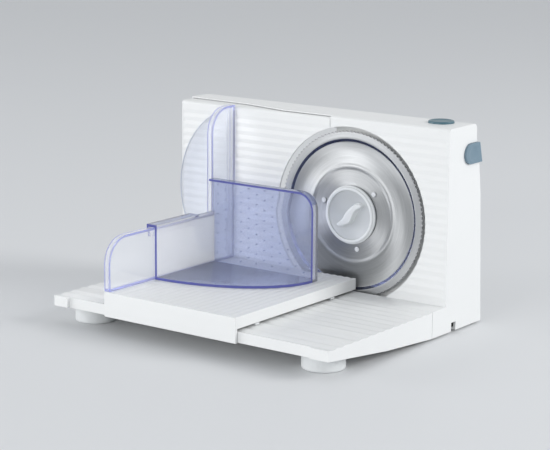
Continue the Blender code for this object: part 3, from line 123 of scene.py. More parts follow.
def soften(piece, width, segments=2, edgeFinish=None):
    # rounds the sharp edges of a solid, so that they catch the light as moulded edges do
    weld = piece.modifiers.new("weld", "WELD")
    weld.merge_threshold = rounding["weldReach"]
    flat = piece.modifiers.new("flatFaces", "DECIMATE")
    flat.decimate_type = "DISSOLVE"
    flat.angle_limit = math.radians(rounding["flatAngle"])
    edges = piece.modifiers.new("roundEdges", "BEVEL")
    edges.width = width
    edges.segments = segments
    edges.limit_method = "ANGLE"
    edges.angle_limit = math.radians(rounding["sharpAngle"])
    edges.harden_normals = True
    if edgeFinish:
        piece.data.materials.append(edgeFinish)
        edges.material = 1


def newGroup(name, colours, numbers, vectors=()):
    # every group gives a colour, a roughness and a height for the bump
    tree = bpy.data.node_groups.new(name, "ShaderNodeTree")
    for kind, labels in (("Color", colours), ("Float", numbers), ("Vector", vectors)):
        for label in labels:
            tree.interface.new_socket(label, in_out="INPUT", socket_type="NodeSocket" + kind)
    for label, kind in (("Colour", "Color"), ("Roughness", "Float"), ("Height", "Float")):
        tree.interface.new_socket(label, in_out="OUTPUT", socket_type="NodeSocket" + kind)
    start = tree.nodes.new("NodeGroupInput")
    end = tree.nodes.new("NodeGroupOutput")
    return tree, start, end


def closeGroup(tree, end, colour, rough, height):
    for label, value in (("Colour", colour), ("Roughness", rough), ("Height", height)):
        tree.links.new(value, end.inputs[label])
    return tree


def feed(tree, socket, value):
    # a socket takes a plain value, or the output of another node
    if isinstance(value, bpy.types.NodeSocket):
        tree.links.new(value, socket)
    else:
        socket.default_value = value


def mathNode(tree, operation, *values):
    node = tree.nodes.new("ShaderNodeMath")
    node.operation = operation
    for socket, value in zip(node.inputs, values):
        feed(tree, socket, value)
    return node.outputs[0]


def vectorNode(tree, operation, first, second):
    node = tree.nodes.new("ShaderNodeVectorMath")
    node.operation = operation
    tree.links.new(first, node.inputs[0])
    tree.links.new(second, node.inputs[1])
    return node.outputs[0]


def splitVector(tree, vector):
    node = tree.nodes.new("ShaderNodeSeparateXYZ")
    tree.links.new(vector, node.inputs[0])
    return node


def objectPlace(tree):
    return tree.nodes.new("ShaderNodeTexCoord").outputs["Object"]


def noiseNode(tree, vector, scale, detail, roughness):
    node = tree.nodes.new("ShaderNodeTexNoise")
    node.inputs["Detail"].default_value = detail
    node.inputs["Roughness"].default_value = roughness
    feed(tree, node.inputs["Scale"], scale)
    tree.links.new(vector, node.inputs["Vector"])
    return node.outputs["Fac"]


def swayed(tree, value, noise, swing):
    # value moved up and down by noise, which is about 0.5 on average
    return mathNode(tree, "ADD", value, mathNode(tree, "MULTIPLY", mathNode(tree, "SUBTRACT", noise, 0.5), swing))


def mixColour(tree, factor, first, second):
    # in colour mode the mix node has its factor at 0, its colours at 6 and 7 and its result at 2
    node = tree.nodes.new("ShaderNodeMix")
    node.data_type = "RGBA"
    for place, value in ((0, factor), (6, first), (7, second)):
        feed(tree, node.inputs[place], value)
    return node.outputs[2]


moulded = {"shadeScale": 14.0, "shadeFrom": 0.35, "shadeGain": 0.6, "patchScale": 90.0, "roughSwing": 0.12,
           "dust": 0.04, "dustColour": (0.72, 0.7, 0.66, 1), "bumpDistance": 0.00006, "coatRoughness": 0.15}


def buildMoulded():
    # fine grain of a moulded surface, slow changes of shade, and dust that settles on what faces up
    tree, start, end = newGroup("mouldedSurface", ("Colour", "Shade"), ("Grain Size", "Roughness", "Dust"))
    place = objectPlace(tree)
    grain = noiseNode(tree, place, start.outputs["Grain Size"], detail=2.0, roughness=0.6)
    slow = noiseNode(tree, place, moulded["shadeScale"], detail=3.0, roughness=0.5)
    patchy = noiseNode(tree, place, moulded["patchScale"], detail=4.0, roughness=0.65)
    shade = mathNode(tree, "MULTIPLY", mathNode(tree, "SUBTRACT", slow, moulded["shadeFrom"]),
                     moulded["shadeGain"])
    colour = mixColour(tree, shade, start.outputs["Colour"], start.outputs["Shade"])
    facing = splitVector(tree, tree.nodes.new("ShaderNodeNewGeometry").outputs["Normal"])
    upward = mathNode(tree, "MAXIMUM", facing.outputs["Z"], 0.0)
    dust = mathNode(tree, "MULTIPLY", mathNode(tree, "MULTIPLY", upward, patchy), start.outputs["Dust"])
    colour = mixColour(tree, dust, colour, moulded["dustColour"])
    rough = swayed(tree, start.outputs["Roughness"], patchy, moulded["roughSwing"])
    return closeGroup(tree, end, colour, rough, grain)


turned = {"fineTurns": 1.5, "bandRings": 420.0, "bandTurns": 0.6, "bandShare": 0.5, "maskFrom": 0.25,
          "roughSwing": 0.16, "bumpDistance": 0.00003, "bump": 0.2}


def ringNoise(tree, radius, rings, turn, turns, detail, roughness):
    # noise drawn out round the axis, as the marks of turning are
    polar = tree.nodes.new("ShaderNodeCombineXYZ")
    tree.links.new(mathNode(tree, "MULTIPLY", radius, rings), polar.inputs[0])
    tree.links.new(mathNode(tree, "MULTIPLY", turn, turns), polar.inputs[1])
    return noiseNode(tree, polar.outputs[0], 1.0, detail, roughness)


def buildTurnedBrush():
    # fine rings left by turning or circular brushing round the Y axis through Centre
    tree, start, end = newGroup("turnedBrush", ("Light", "Dark"), ("Rings", "Crown", "Roughness"), ("Centre",))
    split = splitVector(tree, vectorNode(tree, "SUBTRACT", objectPlace(tree), start.outputs["Centre"]))
    squares = [mathNode(tree, "POWER", mathNode(tree, "ABSOLUTE", split.outputs[axis]), 2.0) for axis in "XZ"]
    radius = mathNode(tree, "SQRT", mathNode(tree, "ADD", *squares))
    turn = mathNode(tree, "ARCTAN2", split.outputs["Z"], split.outputs["X"])
    fine = ringNoise(tree, radius, start.outputs["Rings"], turn, turned["fineTurns"], detail=3.0, roughness=0.6)
    bands = ringNoise(tree, radius, turned["bandRings"], turn, turned["bandTurns"], detail=2.0, roughness=0.5)
    both = mathNode(tree, "ADD", fine, mathNode(tree, "MULTIPLY", bands, turned["bandShare"]))
    mask = mathNode(tree, "SUBTRACT", both, turned["maskFrom"])
    colour = mixColour(tree, mask, start.outputs["Light"], start.outputs["Dark"])
    rough = swayed(tree, start.outputs["Roughness"], fine, turned["roughSwing"])
    # a pressed disc is slightly domed: its height falls from the middle outwards
    dome = mathNode(tree, "MULTIPLY", radius, start.outputs["Crown"])
    return closeGroup(tree, end, colour, rough, mathNode(tree, "SUBTRACT", fine, dome))


metal = {"blotchScale": 120.0, "maskShare": 0.5, "roughSwing": 0.2, "bumpDistance": 0.00004, "bump": 0.15}


def buildMetalGrain():
    # rolled or plated metal: faint drawn lines along one axis and small blotches
    tree, start, end = newGroup("metalGrain", ("Light", "Dark"), ("Roughness",), ("Stretch",))
    place = objectPlace(tree)
    scaled = vectorNode(tree, "MULTIPLY", place, start.outputs["Stretch"])
    lines = noiseNode(tree, scaled, 1.0, detail=3.0, roughness=0.6)
    blotches = noiseNode(tree, place, metal["blotchScale"], detail=3.0, roughness=0.6)
    mask = mathNode(tree, "MULTIPLY", mathNode(tree, "ADD", lines, blotches), metal["maskShare"])
    colour = mixColour(tree, mask, start.outputs["Light"], start.outputs["Dark"])
    rough = swayed(tree, start.outputs["Roughness"], blotches, metal["roughSwing"])
    return closeGroup(tree, end, colour, rough, lines)


mouldedGroup = buildMoulded()
turnedGroup = buildTurnedBrush()
grainGroup = buildMetalGrain()
print("shader groups built")


def baseMaterial(name):
    material = bpy.data.materials.new(name)
    material.use_nodes = True
    tree = material.node_tree
    return material, tree, tree.nodes["Principled BSDF"]


def groupMaterial(name, group, values, bumpDistance, bumpStrength):
    material, tree, shader = baseMaterial(name)
    node = tree.nodes.new("ShaderNodeGroup")
    node.node_tree = group
    for label, value in values.items():
        node.inputs[label].default_value = value
    tree.links.new(node.outputs["Colour"], shader.inputs["Base Color"])
    tree.links.new(node.outputs["Roughness"], shader.inputs["Roughness"])
    bump = tree.nodes.new("ShaderNodeBump")
    bump.inputs["Distance"].default_value = bumpDistance
    bump.inputs["Strength"].default_value = bumpStrength
    tree.links.new(node.outputs["Height"], bump.inputs["Height"])
    tree.links.new(bump.outputs["Normal"], shader.inputs["Normal"])
    return material, tree, shader


def mouldedMaterial(name, colour, shade, roughness, grainSize=2500.0, bump=0.12, coat=0.0):
    values = {"Colour": (*colour, 1), "Shade": (*shade, 1), "Grain Size": grainSize, "Roughness": roughness,
              "Dust": moulded["dust"]}
    material, tree, shader = groupMaterial(name, mouldedGroup, values, moulded["bumpDistance"], bump)
    shader.inputs["Coat Weight"].default_value = coat
    shader.inputs["Coat Roughness"].default_value = moulded["coatRoughness"]
    return material


def metalMaterial(name, light, dark, roughness, stretch=(600.0, 600.0, 40.0)):
    values = {"Light": (*light, 1), "Dark": (*dark, 1), "Roughness": roughness, "Stretch": stretch}
    material, tree, shader = groupMaterial(name, grainGroup, values, metal["bumpDistance"], metal["bump"])
    shader.inputs["Metallic"].default_value = 1.0
    return material


bladeCentre = centreOf("blade_disc")


def turnedMaterial(name, light, dark, roughness, rings, anisotropy, crown=0.0):
    values = {"Centre": bladeCentre, "Light": (*light, 1), "Dark": (*dark, 1), "Rings": rings, "Crown": crown,
              "Roughness": roughness}
    material, tree, shader = groupMaterial(name, turnedGroup, values, turned["bumpDistance"], turned["bump"])
    shader.inputs["Metallic"].default_value = 1.0
    shader.inputs["Anisotropic"].default_value = anisotropy
    tangent = tree.nodes.new("ShaderNodeTangent")
    tangent.direction_type = "RADIAL"
    tangent.axis = "Y"
    tree.links.new(tangent.outputs[0], shader.inputs["Tangent"])
    return material


clearPlastic = {"refraction": 1.49, "smearScale": 60.0, "smearFrom": 0.5, "smearGain": 0.25, "waveScale": 35.0,
                "waveDistance": 0.0002, "waveStrength": 0.05, "shadowPass": 0.95}


def clearMaterial(name, body, clearness, tint, density, roughness):
    # clear plastic, milky where clearness is under 1: the tint comes from the depth that light crosses
    material, tree, shader = baseMaterial(name)
    shader.inputs["Base Color"].default_value = (*body, 1)
    shader.inputs["Transmission Weight"].default_value = clearness
    shader.inputs["IOR"].default_value = clearPlastic["refraction"]
    place = objectPlace(tree)
    smears = noiseNode(tree, place, clearPlastic["smearScale"], detail=3.0, roughness=0.6)
    smears = mathNode(tree, "MAXIMUM", mathNode(tree, "SUBTRACT", smears, clearPlastic["smearFrom"]), 0.0)
    smears = mathNode(tree, "MULTIPLY", smears, clearPlastic["smearGain"])
    tree.links.new(mathNode(tree, "ADD", roughness, smears), shader.inputs["Roughness"])
    waves = tree.nodes.new("ShaderNodeBump")
    waves.inputs["Distance"].default_value = clearPlastic["waveDistance"]
    waves.inputs["Strength"].default_value = clearPlastic["waveStrength"]
    tree.links.new(noiseNode(tree, place, clearPlastic["waveScale"], detail=1.0, roughness=0.4),
                   waves.inputs["Height"])
    tree.links.new(waves.outputs["Normal"], shader.inputs["Normal"])
    volume = tree.nodes.new("ShaderNodeVolumeAbsorption")
    volume.inputs["Color"].default_value = (*tint, 1)
    volume.inputs["Density"].default_value = density
    tree.links.new(volume.outputs[0], tree.nodes["Material Output"].inputs["Volume"])
    # lamps shine through it, so that its shadow is pale
    shadow = tree.nodes.new("ShaderNodeLightPath").outputs["Is Shadow Ray"]
    passing = mathNode(tree, "MULTIPLY", shadow, clearPlastic["shadowPass"])
    tree.links.new(mathNode(tree, "SUBTRACT", 1.0, passing), shader.inputs["Alpha"])
    return material


sheetEdge = {"grainSize": 900.0, "roughness": 0.12, "bumpDistance": 0.00003, "bump": 0.05, "specular": 0.2}


def edgeMaterial(name, colour, shade):
    # cut and rounded edges of clear plastic look solid: their opaque colour is partly the deeper tint gathered along
    # the sheet and partly painted refraction, dark lines on the wall and holder and a pale painted highlight on the
    # guard
    values = {"Colour": (*colour, 1), "Shade": (*shade, 1), "Grain Size": sheetEdge["grainSize"],
              "Roughness": sheetEdge["roughness"], "Dust": 0.0}
    material, tree, shader = groupMaterial(name, mouldedGroup, values, sheetEdge["bumpDistance"],
                                           sheetEdge["bump"])
    shader.inputs["Specular IOR Level"].default_value = sheetEdge["specular"]
    return material


finish = {
    "white": mouldedMaterial("whiteHousing", (0.835, 0.843, 0.838), (0.785, 0.793, 0.789), 0.42, coat=0.15),
    "whiteFoot": mouldedMaterial("whiteFoot", (0.76, 0.78, 0.785), (0.7, 0.72, 0.73), 0.5, 1400.0, 0.3),
    "lightGrey": mouldedMaterial("lightGreyCap", (0.76, 0.78, 0.79), (0.70, 0.72, 0.73), 0.3, coat=0.2),
    # the lock cap's bowl: the cap's own light grey made darker, painted shade in the hollow of the bowl
    "bowlPaintedShade": mouldedMaterial("capBowlPaintedShade", (0.54, 0.56, 0.57), (0.49, 0.505, 0.515), 0.36, coat=0.1),
    "blueGrey": mouldedMaterial("blueGreyButton", (0.062, 0.145, 0.185), (0.048, 0.12, 0.16), 0.36, 1800.0, 0.3),
    "paleBlueGrey": mouldedMaterial("sideButton", (0.165, 0.25, 0.315), (0.14, 0.215, 0.275), 0.4, 1800.0, 0.3),
    "rivet": mouldedMaterial("rivetWhite", (0.70, 0.715, 0.74), (0.63, 0.645, 0.67), 0.45),
    "natural": mouldedMaterial("gearNatural", (0.74, 0.72, 0.64), (0.66, 0.64, 0.56), 0.42),
    "black": mouldedMaterial("blackHousing", (0.02, 0.02, 0.022), (0.03, 0.03, 0.032), 0.45),
    "greyRubber": mouldedMaterial("greyRubberPad", (0.2, 0.205, 0.21), (0.16, 0.165, 0.17), 0.75, 900.0, 0.5),
    "blackRubber": mouldedMaterial("blackRubberGland", (0.015, 0.015, 0.016), (0.03, 0.03, 0.03), 0.7, 900.0, 0.5),
    "blade": turnedMaterial("bladeSteel", (0.53, 0.54, 0.55), (0.31, 0.32, 0.33), 0.46, rings=2600.0,
                            anisotropy=0.9, crown=28000.0),
    "bladeGround": turnedMaterial("groundEdge", (0.46, 0.465, 0.48), (0.38, 0.385, 0.40), 0.42, rings=900.0,
                                  anisotropy=0.3),
    "bladeRing": turnedMaterial("bladeRing", (0.50, 0.51, 0.52), (0.36, 0.37, 0.38), 0.44, rings=1500.0,
                                anisotropy=0.7, crown=14000.0),
    # the step round the dish: the blade's steel painted dark and bluish, painted shade and painted dark reflection in
    # the step wall
    "bladeStepPaintedShade": turnedMaterial("bladeStepPaintedShade", (0.15, 0.16, 0.22), (0.10, 0.11, 0.16), 0.24, rings=1500.0,
                                anisotropy=0.2),
    "steel": metalMaterial("turnedSteel", (0.6, 0.6, 0.62), (0.45, 0.45, 0.47), 0.28),
    "zinc": metalMaterial("zincPlate", (0.58, 0.6, 0.61), (0.42, 0.43, 0.44), 0.38, stretch=(60.0, 60.0, 60.0)),
    "brass": metalMaterial("bushBrass", (0.72, 0.5, 0.2), (0.55, 0.36, 0.14), 0.32),
    "copper": metalMaterial("windingCopper", (0.5, 0.22, 0.09), (0.3, 0.12, 0.05), 0.4, stretch=(90.0, 90.0, 2400.0)),
    "clear": clearMaterial("clearWall", (0.97, 0.98, 1.0), 0.75, (0.2, 0.35, 0.8), 5.0, 0.08),
    "guard": clearMaterial("clearGuard", (0.84, 0.86, 0.91), 0.86, (0.2, 0.35, 0.8), 6.0, 0.05),
    "blue": clearMaterial("blueHolder", (0.60, 0.645, 0.81), 0.82, (0.05, 0.16, 0.64), 11.5, 0.06),
    # faces of the holder that look along X: a lighter, milkier copy of the same blue plastic, painted light on that
    # side
    "blueSidePaintedLight": clearMaterial("blueHolderSidePaintedLight", (1.0, 1.0, 1.0), 0.78, (0.05, 0.16, 0.55), 10.0, 0.13),
    # sheet edges and the holder's pins are drawn opaque: their colours carry painted refraction and painted edge
    # highlights
    "clearEdge": edgeMaterial("clearWallEdge", (0.27, 0.30, 0.70), (0.22, 0.25, 0.62)),
    "guardEdge": edgeMaterial("clearGuardEdge", (0.76, 0.79, 0.88), (0.68, 0.71, 0.82)),
    "spike": edgeMaterial("spikePlastic", (0.22, 0.235, 0.36), (0.17, 0.18, 0.3)),
    "blueEdge": edgeMaterial("blueHolderEdge", (0.11, 0.12, 0.36), (0.07, 0.07, 0.27)),
}

slotFinish = {
    "white_plastic": "white", "foot_plastic": "whiteFoot", "light_grey_plastic": "lightGrey",
    "blue_grey_plastic": "blueGrey", "white_rivet": "rivet", "gear_plastic": "natural",
    "black_plastic": "black", "blade_steel": "blade", "steel": "steel", "motor_steel": "zinc",
    "winding": "copper", "brass": "brass", "grey_rubber": "greyRubber", "black_rubber": "blackRubber",
    "clear_plastic": "clear", "blue_clear_plastic": "blue"}


def paint(piece, label):
    if not piece.data.materials:
        piece.data.materials.append(None)
    piece.data.materials[0] = finish[label]


for part in frame["record"]["subparts"]:
    paint(nodes[part["node"]], slotFinish[part["material_slot"]])
paint(nodes["side_button"], "paleBlueGrey")
print("materials placed on", len(nodes), "nodes")


# most solids that stay get a small rounding, in metres; the housing stays sharp, because rounding marked its ribs
edgeWidths = {
    "stop_plate": 0.0004, "base_plate": 0.0008, "carriage_table": 0.0006,
    "rear_cover": 0.0004, "front_foot_left": 0.0005, "front_foot_right": 0.0005, "guide_shoe_front": 0.0005,
    "guide_shoe_rear": 0.0005, "thickness_knob": 0.0006, "side_button": 0.0012, "motor_can": 0.0006,
    "motor_end_cap": 0.0006, "safety_switch": 0.0005, "terminal_block": 0.0005, "blade_axle": 0.0004,
    "spindle_nut": 0.0004, "thickness_spindle": 0.0004, "guide_rod_lower": 0.0004, "guide_rod_upper": 0.0004,
    "axle_carrier": 0.0003, "motor_bracket": 0.0003, "cord_gland": 0.0005, "blade_rivet_1": 0.0004,
    "blade_rivet_2": 0.0004, "blade_rivet_3": 0.0004}
for label, width in edgeWidths.items():
    soften(nodes[label], width)
print("edges rounded on", len(edgeWidths), "solids")


sheets = {
    "wallPiece": {"node": "carriage_wall", "body": "carriage", "slot": "clear_plastic", "face": "clear",
                  "side": None, "edge": "clearEdge", "rounding": 0.0008},
    "guardPiece": {"node": "thumb_guard", "body": "carriage", "slot": "clear_plastic", "face": "guard",
                   "side": None, "edge": "guardEdge", "rounding": 0.0006},
    "holderPiece": {"node": "food_holder", "body": "holder", "slot": "blue_clear_plastic", "face": "blue",
                    "side": "blueSidePaintedLight", "edge": "blueEdge", "rounding": 0.0007}}
# a face narrower than edgeFaceWidth is the edge of a sheet, and one that looks along X is its side
sheetRules = {"edgeFaceWidth": 0.0027, "sideNormal": 0.9, "segments": 3}


def stripWidth(face):
    # the width of a long thin face, also of one that turns corners
    if len(face.verts) == 4:
        return min(edge.calc_length() for edge in face.edges)
    return 2 * face.calc_area() / face.calc_perimeter()


def buildSheet(name, setting):
    bm = bmesh.new()
    bm.from_mesh(nodes[setting["node"]].data)
    bmesh.ops.remove_doubles(bm, verts=bm.verts, dist=rounding["weldReach"])
    bmesh.ops.dissolve_limit(bm, angle_limit=math.radians(rounding["flatAngle"]), verts=bm.verts, edges=bm.edges)
    for face in bm.faces:
        # narrow edge faces take slot 1, the opaque edge finish with painted refraction
        face.material_index = 1 if stripWidth(face) < sheetRules["edgeFaceWidth"] else 0
        # faces that look along X take slot 2, the lighter copy with painted light
        if setting["side"] and abs(face.normal.x) > sheetRules["sideNormal"] and face.material_index == 0:
            face.material_index = 2
    piece = newPiece(name, bm, setting["body"])
    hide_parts(setting["node"])
    paint(piece, setting["face"])
    soften(piece, setting["rounding"], sheetRules["segments"], finish[setting["edge"]])
    if setting["side"]:
        piece.data.materials.append(finish[setting["side"]])


for name, setting in sheets.items():
    buildSheet(name, setting)
print("clear sheets built")


# stepTop and stepFoot are (radius, place along the axis), measured from the step's outer edge at the front
# and from its inner edge at the level of the dish
blade = {
    "scallops": 118, "columns": 6, "radius": 0.0829, "scallopDepth": 0.0014, "groundInner": 0.0811,
    "groundRise": 0.0010, "edgeSet": 0.0003, "sheet": 0.001, "backShare": 0.7, "groundRows": (1, 2),
    "edgeSharp": 5, "split": 0.0765, "dishColumns": 160, "stepOuter": 0.0746, "stepInner": 0.0719,
    "stepTop": ((0.0004, 0.0), (0.0, 0.00015)), "stepFoot": ((0.0005, -0.0004), (0.0, -0.0001), (-0.0006, 0.0)),
    "stepBand": (-0.0002, 0.0001), "dishDepth": 0.0015, "dishHollow": 0.0006, "dishPoints": 10,
    "ridgeOuter": 0.0522, "ridgeInner": 0.0438, "ridgeHeight": 0.0006, "ridgePoints": 12,
    "bore": 0.008, "middleHollow": 0.0003, "middlePoints": 8, "dishSharp": 60}


def buildBladeEdge(front, centre):
    bm = bmesh.new()
    count = blade["scallops"] * blade["columns"]
    rows = [[] for row in range(5)]
    for i in range(count):
        share = (i % blade["columns"]) / blade["columns"]
        bow = (2 * share - 1) ** 2  # 1 at the tips, 0 in the middle of a scallop
        rim = blade["radius"] - blade["scallopDepth"] * (1 - bow)
        ground = blade["groundInner"] + blade["groundRise"] * bow
        places = ((blade["split"], front), (ground, front), (rim, front + blade["edgeSet"]),
                  (rim, front + blade["sheet"] * blade["backShare"]), (blade["split"], front + blade["sheet"]))
        turn = 2 * math.pi * i / count
        for row, (radius, y) in zip(rows, places):
            row.append(bm.verts.new((centre.x + radius * math.cos(turn), y, centre.z + radius * math.sin(turn))))
    for k, row in enumerate(rows):
        for face in bridge(bm, row, rows[(k + 1) % len(rows)]):
            face.material_index = 1 if k in blade["groundRows"] else 0
    piece = newPiece("bladeEdge", bm, "blade", blade["edgeSharp"])
    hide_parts("blade_disc")
    paint(piece, "bladeRing")
    piece.data.materials.append(finish["bladeGround"])


def bowed(start, end, base, swing, points, power=1):
    # a line from one radius to another that swings along the axis in between
    shares = [i / points for i in range(points + 1)]
    return [(start + (end - start) * share, base + swing * math.sin(math.pi * share) ** power) for share in shares]


def buildBladeDish(front, centre):
    base = front + blade["dishDepth"]
    outer, inner = blade["stepOuter"], blade["stepInner"]
    low, high = blade["ridgeInner"], blade["ridgeOuter"]
    profile = [(blade["split"], front)]
    profile += [(outer + a, front + b) for a, b in blade["stepTop"]]
    profile += [(inner + a, base + b) for a, b in blade["stepFoot"]]
    profile += bowed(profile[-1][0], high, base, blade["dishHollow"], blade["dishPoints"])[1:-1]
    profile += bowed(high, low, base, -blade["ridgeHeight"], blade["ridgePoints"], 2)
    profile += bowed(low, blade["bore"], base, blade["middleHollow"], blade["middlePoints"])[1:]
    back = [(radius, y + blade["sheet"]) for radius, y in reversed(profile)]
    bm = bmesh.new()
    addTurned(bm, "Y", (centre.x, centre.z), profile + back, blade["dishColumns"])
    stepStart, stepEnd = inner + blade["stepBand"][0], outer + blade["stepBand"][1]
    for face in bm.faces:
        middle = face.calc_center_median() - centre
        radius = math.hypot(middle.x, middle.z)
        # the step band takes slot 1, the steel with painted shade, and the ring outside the step slot 2
        face.material_index = 1 if stepStart < radius < stepEnd else 2 if radius > outer else 0
    piece = newPiece("bladeDish", bm, "blade", blade["dishSharp"])
    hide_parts("blade_disc")
    paint(piece, "blade")
    piece.data.materials.append(finish["bladeStepPaintedShade"])
    piece.data.materials.append(finish["bladeRing"])


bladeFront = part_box("blade_disc")[0].y
buildBladeEdge(bladeFront, bladeCentre)
buildBladeDish(bladeFront, bladeCentre)
print("blade built")


# skirt and rim are (radius, place from the seat or from the front of the rim)
# the grip's layers are (place, growth of the outline): its foot from the rim's floor, its top from the cap's front
cap = {
    "steps": 144, "bore": 0.0077, "seat": 0.0013, "rimFront": 0.0008, "rimFloor": 0.0018, "sharp": 45,
    "skirt": ((0.0283, 0.0), (0.0288, -0.0003), (0.0290, -0.0008)),
    "rim": ((0.0290, 0.0024), (0.0287, 0.0020), (0.0278, 0.0018), (0.0275, 0.0014), (0.0274, 0.0005),
            (0.0271, 0.0001), (0.0267, 0.0), (0.0252, 0.0), (0.0249, 0.0001), (0.0246, 0.0005), (0.0243, 0.0016)),
    "knurlBand": (0.0242, 0.0245), "knurlDepth": 0.00010, "bowlEdge": 0.0240, "bowlFloor": 0.007,
    "bowlStart": 0.0019, "bowlDepth": 0.0046, "bowlMargin": 0.0006, "bowlShares": (0.25, 0.5, 0.75, 1),
    "gripHalf": 0.0180, "gripNeck": 0.0052, "gripMiddle": 0.0096, "gripBend": 0.0020, "gripTurn": 39,
    "gripBulgeAt": -0.12, "gripBulgeWidth": 0.42, "gripEndPower": 8, "gripPoints": 40,
    "gripFoot": ((0.0028, 0.0012), (0.0018, 0.0007), (0.0006, 0.0003), (-0.0010, 0.0)),
    "gripTop": ((0.0009, -0.0002), (0.0004, -0.0004), (0.0001, -0.0008), (0.0, -0.0013))}


def gripOutline(grow):
    # an S: narrow rounded ends set to opposite sides, thickest a little below the middle
    upper, lower = [], []
    half = cap["gripHalf"] + grow
    for i in range(cap["gripPoints"] + 1):
        share = -math.cos(math.pi * i / cap["gripPoints"])
        swell = math.exp(-((share - cap["gripBulgeAt"]) / cap["gripBulgeWidth"]) ** 2)
        width = cap["gripNeck"] + (cap["gripMiddle"] - cap["gripNeck"]) * swell
        width = (width / 2 + grow) * math.sqrt(max(0.0, 1 - share ** cap["gripEndPower"]))
        sway = cap["gripBend"] * math.sin(share * math.pi)
        upper.append((share * half, sway + width))
        lower.append((share * half, sway - width))
    turn = Matrix.Rotation(math.radians(cap["gripTurn"]), 2)
    return [turn @ Vector(point) for point in lower[:-1] + upper[:0:-1]]


def knurled(i, radius):
    inner, outer = cap["knurlBand"]
    return radius - cap["knurlDepth"] * (i % 2) if inner < radius < outer else radius


def buildCap():
    low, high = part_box("blade_lock_cap")
    middle = centreOf("blade_lock_cap")
    back, seat = high.y, high.y - cap["seat"]
    rim = low.y + cap["rimFront"]
    profile = [(0, back), (cap["bore"], back), (cap["bore"], seat)]
    profile += [(radius, seat + y) for radius, y in cap["skirt"]]
    profile += [(radius, rim + y) for radius, y in cap["rim"]]
    start, depth = cap["bowlStart"], cap["bowlDepth"]
    for share in cap["bowlShares"]:
        radius = cap["bowlEdge"] + (cap["bowlFloor"] - cap["bowlEdge"]) * share
        profile.append((radius, rim + start + (depth - start) * math.sin(math.pi * share / 2)))
    profile += [(cap["bowlFloor"] / 2, rim + depth), (0, rim + depth)]
    bm = bmesh.new()
    addTurned(bm, "Y", (middle.x, middle.z), profile, cap["steps"], knurled)
    for face in bm.faces:
        spot = face.calc_center_median()
        inside = math.hypot(spot.x - middle.x, spot.z - middle.z) < cap["bowlEdge"] + cap["bowlMargin"]
        # faces inside the bowl take slot 1, the grey with painted shade
        face.material_index = 1 if inside and rim + cap["bowlMargin"] < spot.y < seat else 0
    rings = []
    for base, layers in ((rim + cap["rimFloor"], cap["gripFoot"]), (low.y, cap["gripTop"])):
        for y, grow in layers:
            rings.append([bm.verts.new((middle.x + a, base + y, middle.z + b)) for a, b in gripOutline(grow)])
    for one, two in zip(rings, rings[1:]):
        bridge(bm, one, two)
    bm.faces.new(rings[0])
    bm.faces.new(rings[-1])
    piece = newPiece("lockCap", bm, "lock_cap", cap["sharp"])
    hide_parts("blade_lock_cap")
    paint(piece, "lightGrey")
    piece.data.materials.append(finish["bowlPaintedShade"])


buildCap()
print("lock cap built")


# brim and hollow are (radius, height) measured from the button's radius, at its crown and at the floor of its dish
topButton = {
    "radius": 0.0125, "rimHeight": 0.0003, "dishDepth": 0.0008, "stemRadius": 0.003, "capHeight": 0.0065,
    "steps": 64, "sharp": 40, "hollow": ((-0.0042, 0.0001), (-0.0060, 0.0)),
    "brim": ((0.0, -0.0012), (-0.00015, -0.0006), (-0.0006, -0.0002), (-0.0013, 0.0), (-0.0020, 0.0),
             (-0.0026, -0.0002))}


def buildTopButton():
    low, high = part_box("top_button")
    middle = centreOf("top_button")
    radius, stem = topButton["radius"], topButton["stemRadius"]
    crown, under = high.z - topButton["rimHeight"], high.z - topButton["capHeight"]
    dish = crown - topButton["dishDepth"]
    profile = [(0, low.z), (stem, low.z), (stem, under), (radius, under)]
    profile += [(radius + a, crown + b) for a, b in topButton["brim"]]
    profile += [(radius + a, dish + b) for a, b in topButton["hollow"]] + [(0, dish)]
    bm = bmesh.new()
    addTurned(bm, "Z", (middle.x, middle.y), profile, topButton["steps"])
    piece = newPiece("topButtonBody", bm, "release_button", topButton["sharp"])
    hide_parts("top_button")
    paint(piece, "blueGrey")


buildTopButton()


spring = {"wire": 0.0004, "turns": 5, "steps": 20, "sides": 8, "sharp": 40}


def buildSpring():
    # pressed together between the safety switch, which stays, and the top button
    low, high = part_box("button_spring")
    middle = centreOf("button_spring")
    wire, sides, count = spring["wire"], spring["sides"], spring["turns"] * spring["steps"]
    radius = (high.x - low.x) / 2 - wire
    bm = bmesh.new()
    rings = []
    for i in range(count + 1):
        turn = 2 * math.pi * spring["turns"] * i / count
        z = low.z + wire + (high.z - low.z - 2 * wire) * i / count
        ring = []
        for k in range(sides):
            around = 2 * math.pi * k / sides
            reach = radius + wire * math.cos(around)
            ring.append(bm.verts.new((middle.x + reach * math.cos(turn), middle.y + reach * math.sin(turn),
                                      z + wire * math.sin(around))))
        rings.append(ring)
    for one, two in zip(rings, rings[1:]):
        bridge(bm, one, two)
    bm.faces.new(rings[0])
    bm.faces.new(rings[-1])
    piece = newPiece("buttonSpring", bm, None, spring["sharp"])
    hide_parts("button_spring")
    paint(piece, "steel")
    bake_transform(piece)


buildSpring()
print("top button and its spring built")


# beyond the first tallColumns columns the pins start about halfway down
spikes = {"pitchX": 0.0097, "pitchZ": 0.0100, "columns": 12, "tallColumns": 8, "radius": 0.00055, "length": 0.0016,
          "firstX": 0.0062, "topMargin": 0.0055, "lowMargin": 0.006, "lowShare": 0.5, "rootDepth": 0.0024,
          "tipShare": 0.45, "taperShare": 0.8, "sides": 10, "sharp": 40}


